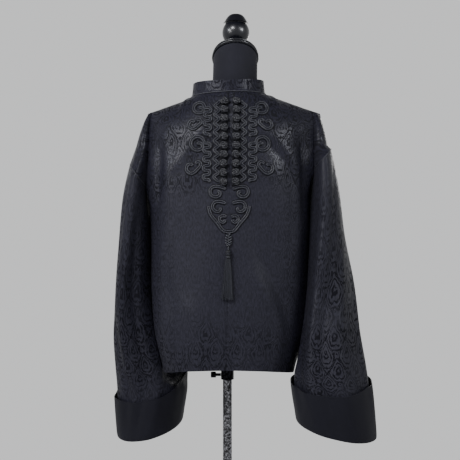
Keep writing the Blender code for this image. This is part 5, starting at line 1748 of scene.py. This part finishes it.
def show_tassel(laid, look):
    """A head bound with thread over strands that spread on the way down."""
    chance = random.Random(TASSEL_SEED)
    strands, rings = Strands(), []
    for i in range(1, len(TASSEL_HEAD) - 1):
        for k in range(6):
            z, half = between(TASSEL_HEAD, i, k / 6)
            rings.append((z, max(0.001, half)))
    # thread wound round the head
    for z, half in rings[::2]:
        middle = laid.off(seam_x(z), z, half)
        turns = [2 * pi * k / WINDING_SIDES for k in range(WINDING_SIDES)]
        ring = [middle + Vector((half * cos(turn), half * sin(turn), 0.0004 * sin(turn)))
                for turn in turns]
        strands.tube(ring, WINDING_R, [(p - middle).normalized() for p in ring], 5, True)
    for z, half in TASSEL_CORES:
        strands.ball(laid.off(seam_x(z), z, TASSEL_CORE_AWAY), Vector((0, 0, 1)), half, half)
    for _ in range(TASSEL_THREADS):
        s, t = chance.uniform(-1, 1), chance.random()
        end = chance.uniform(*THREAD_END)
        phase, sway = chance.uniform(0, 6.3), chance.uniform(*THREAD_SWAY)
        line = []
        for i in range(THREAD_POINTS + 1):
            share = i / THREAD_POINTS
            z = lerp(THREAD_TOP, end, share)
            half = lerp(*SKIRT_HALF, share ** 0.85) * (1 - 0.25 * t)
            x = seam_x(z) + half * s + sway * sin(phase + share * 5) * share
            away = 0.0010 + lerp(*SKIRT_AWAY, share) * t
            line.append(laid.off(x, z, 0) + Vector((0, BACK * away, 0)))
        strands.tube(line, THREAD_R, Vector((0, BACK, 0)), 4)
    return strands.make("shown_tassel", look, "tassel")


def show_frogs(laid, look):
    """Corded frogs: two cords side by side, a flat coil at each end and a ball knot in the middle."""
    strands, names = Strands(), []
    for number in range(FROG_ROWS):
        level = FROG_TOP - number * FROG_PITCH
        names.append("frog_%d" % (number + 1))
        for side in (LEFT, RIGHT):
            for lane in (-1, 1):
                start, end, points = FROG_CORD
                path = [(lerp(start, end, i / (points - 1)), level + lane * CORD_R * FROG_LANE)
                        for i in range(points)]
                if lane == 1:
                    for i in range(1, COIL_POINTS + 1):
                        turn = i / COIL_POINTS * 2 * pi * COIL_TURNS + pi
                        radius = lerp(*COIL_R, i / COIL_POINTS)
                        path.append((COIL_AT + radius * cos(turn), level + radius * sin(turn)))
                path = smooth_path([(seam_x(z) + side * out, z) for out, z in path], 2)
                strands.tube([laid.off(x, z, CORD_R * 0.95) for x, z in path], CORD_R * 1.05,
                             Vector((0, FRONT, 0)), 8)
        radius, deep, away = FROG_KNOT
        middle = laid.off(seam_x(level), level, away)
        _, out = laid.hit(middle.x, level)
        ball_knot(strands, middle, out, radius, deep, 0.4 * number)
    return strands.make("shown_frogs", look, *names)


# ---------------------------------------------------------------- dress form and stand
def stack(name, rings, look, node, sharp=40):
    count = len(rings[0])
    points = [p for ring in rings for p in ring]
    faces = [list(range(count))[::-1]]
    for r in range(len(rings) - 1):
        for i in range(count):
            j = (i + 1) % count
            faces.append([r * count + i, r * count + j, (r + 1) * count + j, (r + 1) * count + i])
    faces.append(list(range((len(rings) - 1) * count, len(rings) * count)))
    made = finish_mesh(name, points, faces, look, None, sharp)
    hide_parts(node)
    return made


def show_form(look):
    count, rings = FORM_SIDES, []
    for i in range(len(FORM) - 1):
        for k in range(FORM_STEPS):
            z, wide, back, front = between(FORM, i, k / FORM_STEPS)
            rings.append(oval(form_x(z), wide, back, front, z, count))
    z, wide, back, front = FORM[-1]
    rings.append(oval(form_x(z), wide, back, front, z, count))
    under = (CLOTH + FORM_CLEAR) * hypot(1, SHOULDER_RISE)
    for wide, back, front in FORM_SHOULDERS:
        z = SHOULDER_Z + (SHOULDER_HALF - wide) * SHOULDER_RISE - under
        rings.append(oval(SHOULDER_X, wide, back, front, z, count, 2.0))
    neck = [oval(form_x(z), wide, back, front, z, count, 2.0) for z, wide, back, front in NECK_RINGS]
    top = oval(form_x(NECK_TOP), NECK_WIDE, NECK_DEEP, NECK_DEEP, NECK_TOP, count, 2.0)
    for p in top:
        p.z += NECK_SLANT * p.y
    neck.append(top)
    for i in range(len(neck) - 1):
        for k in range(NECK_STEPS):
            rings.append([Vector(between([ring[n] for ring in neck], i, k / NECK_STEPS))
                          for n in range(count)])
    rings.append(neck[-1])
    return stack("shown_form", rings, look, "form")


def show_neck_cap(look):
    """Two turned rings, one on the other, with a groove between them."""
    rings = []
    for share, grow in CAP_PROFILE:
        up = lerp(SEAM_GAP, CAP_THICK, share)
        ring = oval(form_x(NECK_TOP), CAP_HALF + grow, CAP_HALF + grow, CAP_HALF + grow,
                    NECK_TOP + up * hypot(1, NECK_SLANT), FORM_SIDES, 2.0)
        for p in ring:
            p.z += NECK_SLANT * p.y
        rings.append(ring)
    return stack("shown_neck_cap", rings, look, "neck_cap", 60)


def lathe(profile, x, count=72):
    return [[Vector((x + radius * cos(2 * pi * i / count),
                     radius * sin(2 * pi * i / count), z)) for i in range(count)]
            for z, radius in profile]


def show_finial(look):
    """A ball under a domed button, with small turned beads where they meet."""
    foot_z = NECK_TOP + (CAP_THICK + SEAM_GAP * 2) * hypot(1, NECK_SLANT)
    profile = [(foot_z, STEM_R + 0.004), (foot_z + 0.006, STEM_R + 0.0035), (foot_z + 0.010, STEM_R + 0.001),
               (foot_z + 0.012, STEM_R)]
    start, end = asin(STEM_R / BALL_R), acos((BUTTON_Z - BALL_Z - 0.0015) / BALL_R)
    for i in range(25):
        angle = pi - lerp(start, pi - end, i / 24)
        profile.append((BALL_Z + BALL_R * cos(angle), BALL_R * sin(angle)))
    high = FINIAL_TOP - BUTTON_Z
    profile.append((BUTTON_Z - 0.0006, BUTTON_R - 0.005))
    for i in range(15):
        turn = pi / 2 * i / 14
        rise = BUTTON_BEAD - BUTTON_BEAD * cos(turn) + (high - BUTTON_BEAD) * sin(turn) ** 3
        profile.append((BUTTON_Z + rise, BUTTON_R * cos(turn * 0.96) ** 0.55))
    rings = lathe(profile, form_x(BALL_Z))
    for p in rings[0]:
        p.z += NECK_SLANT * p.y
    return stack("shown_finial", rings, look, "finial", 50)


def show_base(look):
    hole = POLE_R + SEAM_GAP
    edge = [(0.0, BASE_R - 0.001), (0.001, BASE_R)]
    edge += [(BASE_EDGE - 0.002, BASE_R), (BASE_EDGE - 0.0006, BASE_R - 0.0006), (BASE_EDGE, BASE_R - 0.002)]
    slope = [(lerp(BASE_EDGE, BASE_TOP, smoothstep(i / 8)), lerp(BASE_R - 0.002, BASE_R - 0.03, i / 8))
             for i in range(1, 9)]
    inner = [(BASE_TOP + 0.006 * smoothstep(i / 6), lerp(BASE_R - 0.03, HUB_R + 0.006, i / 6))
             for i in range(1, 7)]
    hub = [(BASE_TOP + 0.010, HUB_R), (HUB_TOP - 0.002, HUB_R), (HUB_TOP, HUB_R - 0.002)]
    hub += [(HUB_TOP, hole), (BASE_TOP, hole)]
    return stack("shown_base", lathe(edge + slope + inner + hub, 0.0, 96), look, "base")


def show_thumbscrew(look):
    """A knurled knob on a short shank."""
    start, rings = -SOCKET_R - SEAM_GAP, []
    for out, radius in KNOB:
        ring = []
        for i in range(KNOB_SIDES):
            turn = 2 * pi * i / KNOB_SIDES
            r = radius * (1 - KNURL * (i % 2) * (radius == KNOB_R))
            ring.append(Vector((start - out, r * cos(turn), KNOB_Z + r * sin(turn))))
        rings.append(ring)
    return stack("shown_thumbscrew", rings, look, "thumbscrew")


# ---------------------------------------------------------------- camera, lights and floor
def aim(thing, target):
    thing.rotation_euler = (Vector(target) - thing.location).to_track_quat("-Z", "Y").to_euler()


def area_light(name, place, target, size, power, colour, matt):
    data = bpy.data.lights.new(name, "AREA")
    data.shape = "RECTANGLE"
    data.size, data.size_y = size
    data.energy = power
    data.color = colour
    made = bpy.data.objects.new(name, data)
    made.location = place
    made.visible_diffuse = matt
    bpy.context.collection.objects.link(made)
    aim(made, target)


def set_stage():
    scene = bpy.context.scene
    data = bpy.data.cameras.new("camera")
    data.sensor_width = SENSOR
    data.lens = SENSOR / (WIDE_PX / FOCAL_PX)
    camera = bpy.data.objects.new("camera", data)
    camera.location = CAMERA
    camera.rotation_euler = (pi / 2, 0, 0)
    scene.collection.objects.link(camera)
    scene.camera = camera

    world = bpy.data.worlds.new("studio")
    world.use_nodes = True
    world.node_tree.nodes["Background"].inputs["Color"].default_value = (*WORLD, 1)
    tree = world.node_tree
    where = tree.nodes.new("ShaderNodeSeparateXYZ")
    tree.links.new(tree.nodes.new("ShaderNodeTexCoord").outputs["Generated"], where.inputs[0])
    dim = tree.nodes.new("ShaderNodeMapRange")
    dim.interpolation_type = "SMOOTHSTEP"
    tree.links.new(where.outputs[2], dim.inputs[0])
    for socket, number in zip(list(dim.inputs)[1:5], (0.30, 0.85, WORLD_POWER, WORLD_POWER * OVERHEAD)):
        socket.default_value = number
    tree.links.new(dim.outputs[0], tree.nodes["Background"].inputs["Strength"])
    scene.world = world

    for light in LIGHTS:
        area_light(*light)

    mesh = bpy.data.meshes.new("floor")
    turns = [2 * pi * i / FLOOR_SIDES for i in range(FLOOR_SIDES)]
    rim = [(FLOOR_R * cos(turn), FLOOR_R * sin(turn), FLOOR_Z) for turn in turns]
    mesh.from_pydata(rim, [], [list(range(FLOOR_SIDES))])
    floor = bpy.data.objects.new("floor", mesh)
    shade = Shade("floor", FLOOR_TONE, 0.7)
    cloud = shade.noise(shade.place(), 3.0, 5.0)
    shade.wire("Base Color", shade.mix(cloud, scaled(FLOOR_TONE, 0.94), FLOOR_TONE))
    mesh.materials.append(shade.material)
    bpy.context.collection.objects.link(floor)


# ---------------------------------------------------------------- the whole
def dress_node(node, look):
    """A better material on a solid whose shape is right."""
    for thing in bpy.data.objects:
        if thing.type == "MESH" and (thing.name == node or thing.name.split(".")[0] == node):
            for slot in thing.material_slots:
                slot.material = look


def main():
    brocade = damask("brocade", GROUND, FIGURE)
    twill = plain_twill("cuff_twill", CUFF_TONE)
    cord = satin_cord("satin_cord", CORD_TONE)
    wood = lacquer("black_lacquer", WOOD_TONE)
    steel = worn_steel("worn_steel", STEEL_TONE)
    cover = jersey("black_jersey", FORM_TONE)

    cloth, normals = build_fine_cloth()
    made = show_cloth(cloth, normals, brocade, plain_twill("lining", LINING_TONE))
    for side in (LEFT, RIGHT):
        made["cuff_" + SIDES[side]] = show_cuff(cloth, normals, side, twill)
    made["collar"] = show_collar(damask("collar_brocade", GROUND, COLLAR_FIGURE, 0.08))
    # the seams' lighter tone is a painted highlight
    show_seams(cloth, normals, satin_cord("seam_edge_painted_highlight", SEAM_HIGHLIGHT_TONE, 0.45))
    backs, fronts = Laid(cloth, BACK), Laid(cloth, FRONT)
    # the dark strip under the cords and knots is painted shadow
    show_cords(backs, cord, plain_twill("painted_shadow_cloth", PAINTED_SHADOW_TONE))
    show_knots(backs, satin_cord("knot_cord", KNOT_TONE, 0.30))
    show_braid(backs, cord)
    show_tassel(backs, satin_cord("tassel_thread", TASSEL_TONE, 0.5))
    show_frogs(fronts, cord)
    show_form(cover)
    show_neck_cap(wood)
    show_finial(wood)
    show_base(steel)
    blackened = worn_steel("blackened_steel", BLACKENED_TONE)
    show_thumbscrew(blackened)
    dress_node("pole", steel)
    dress_node("socket", blackened)
    set_stage()



main()
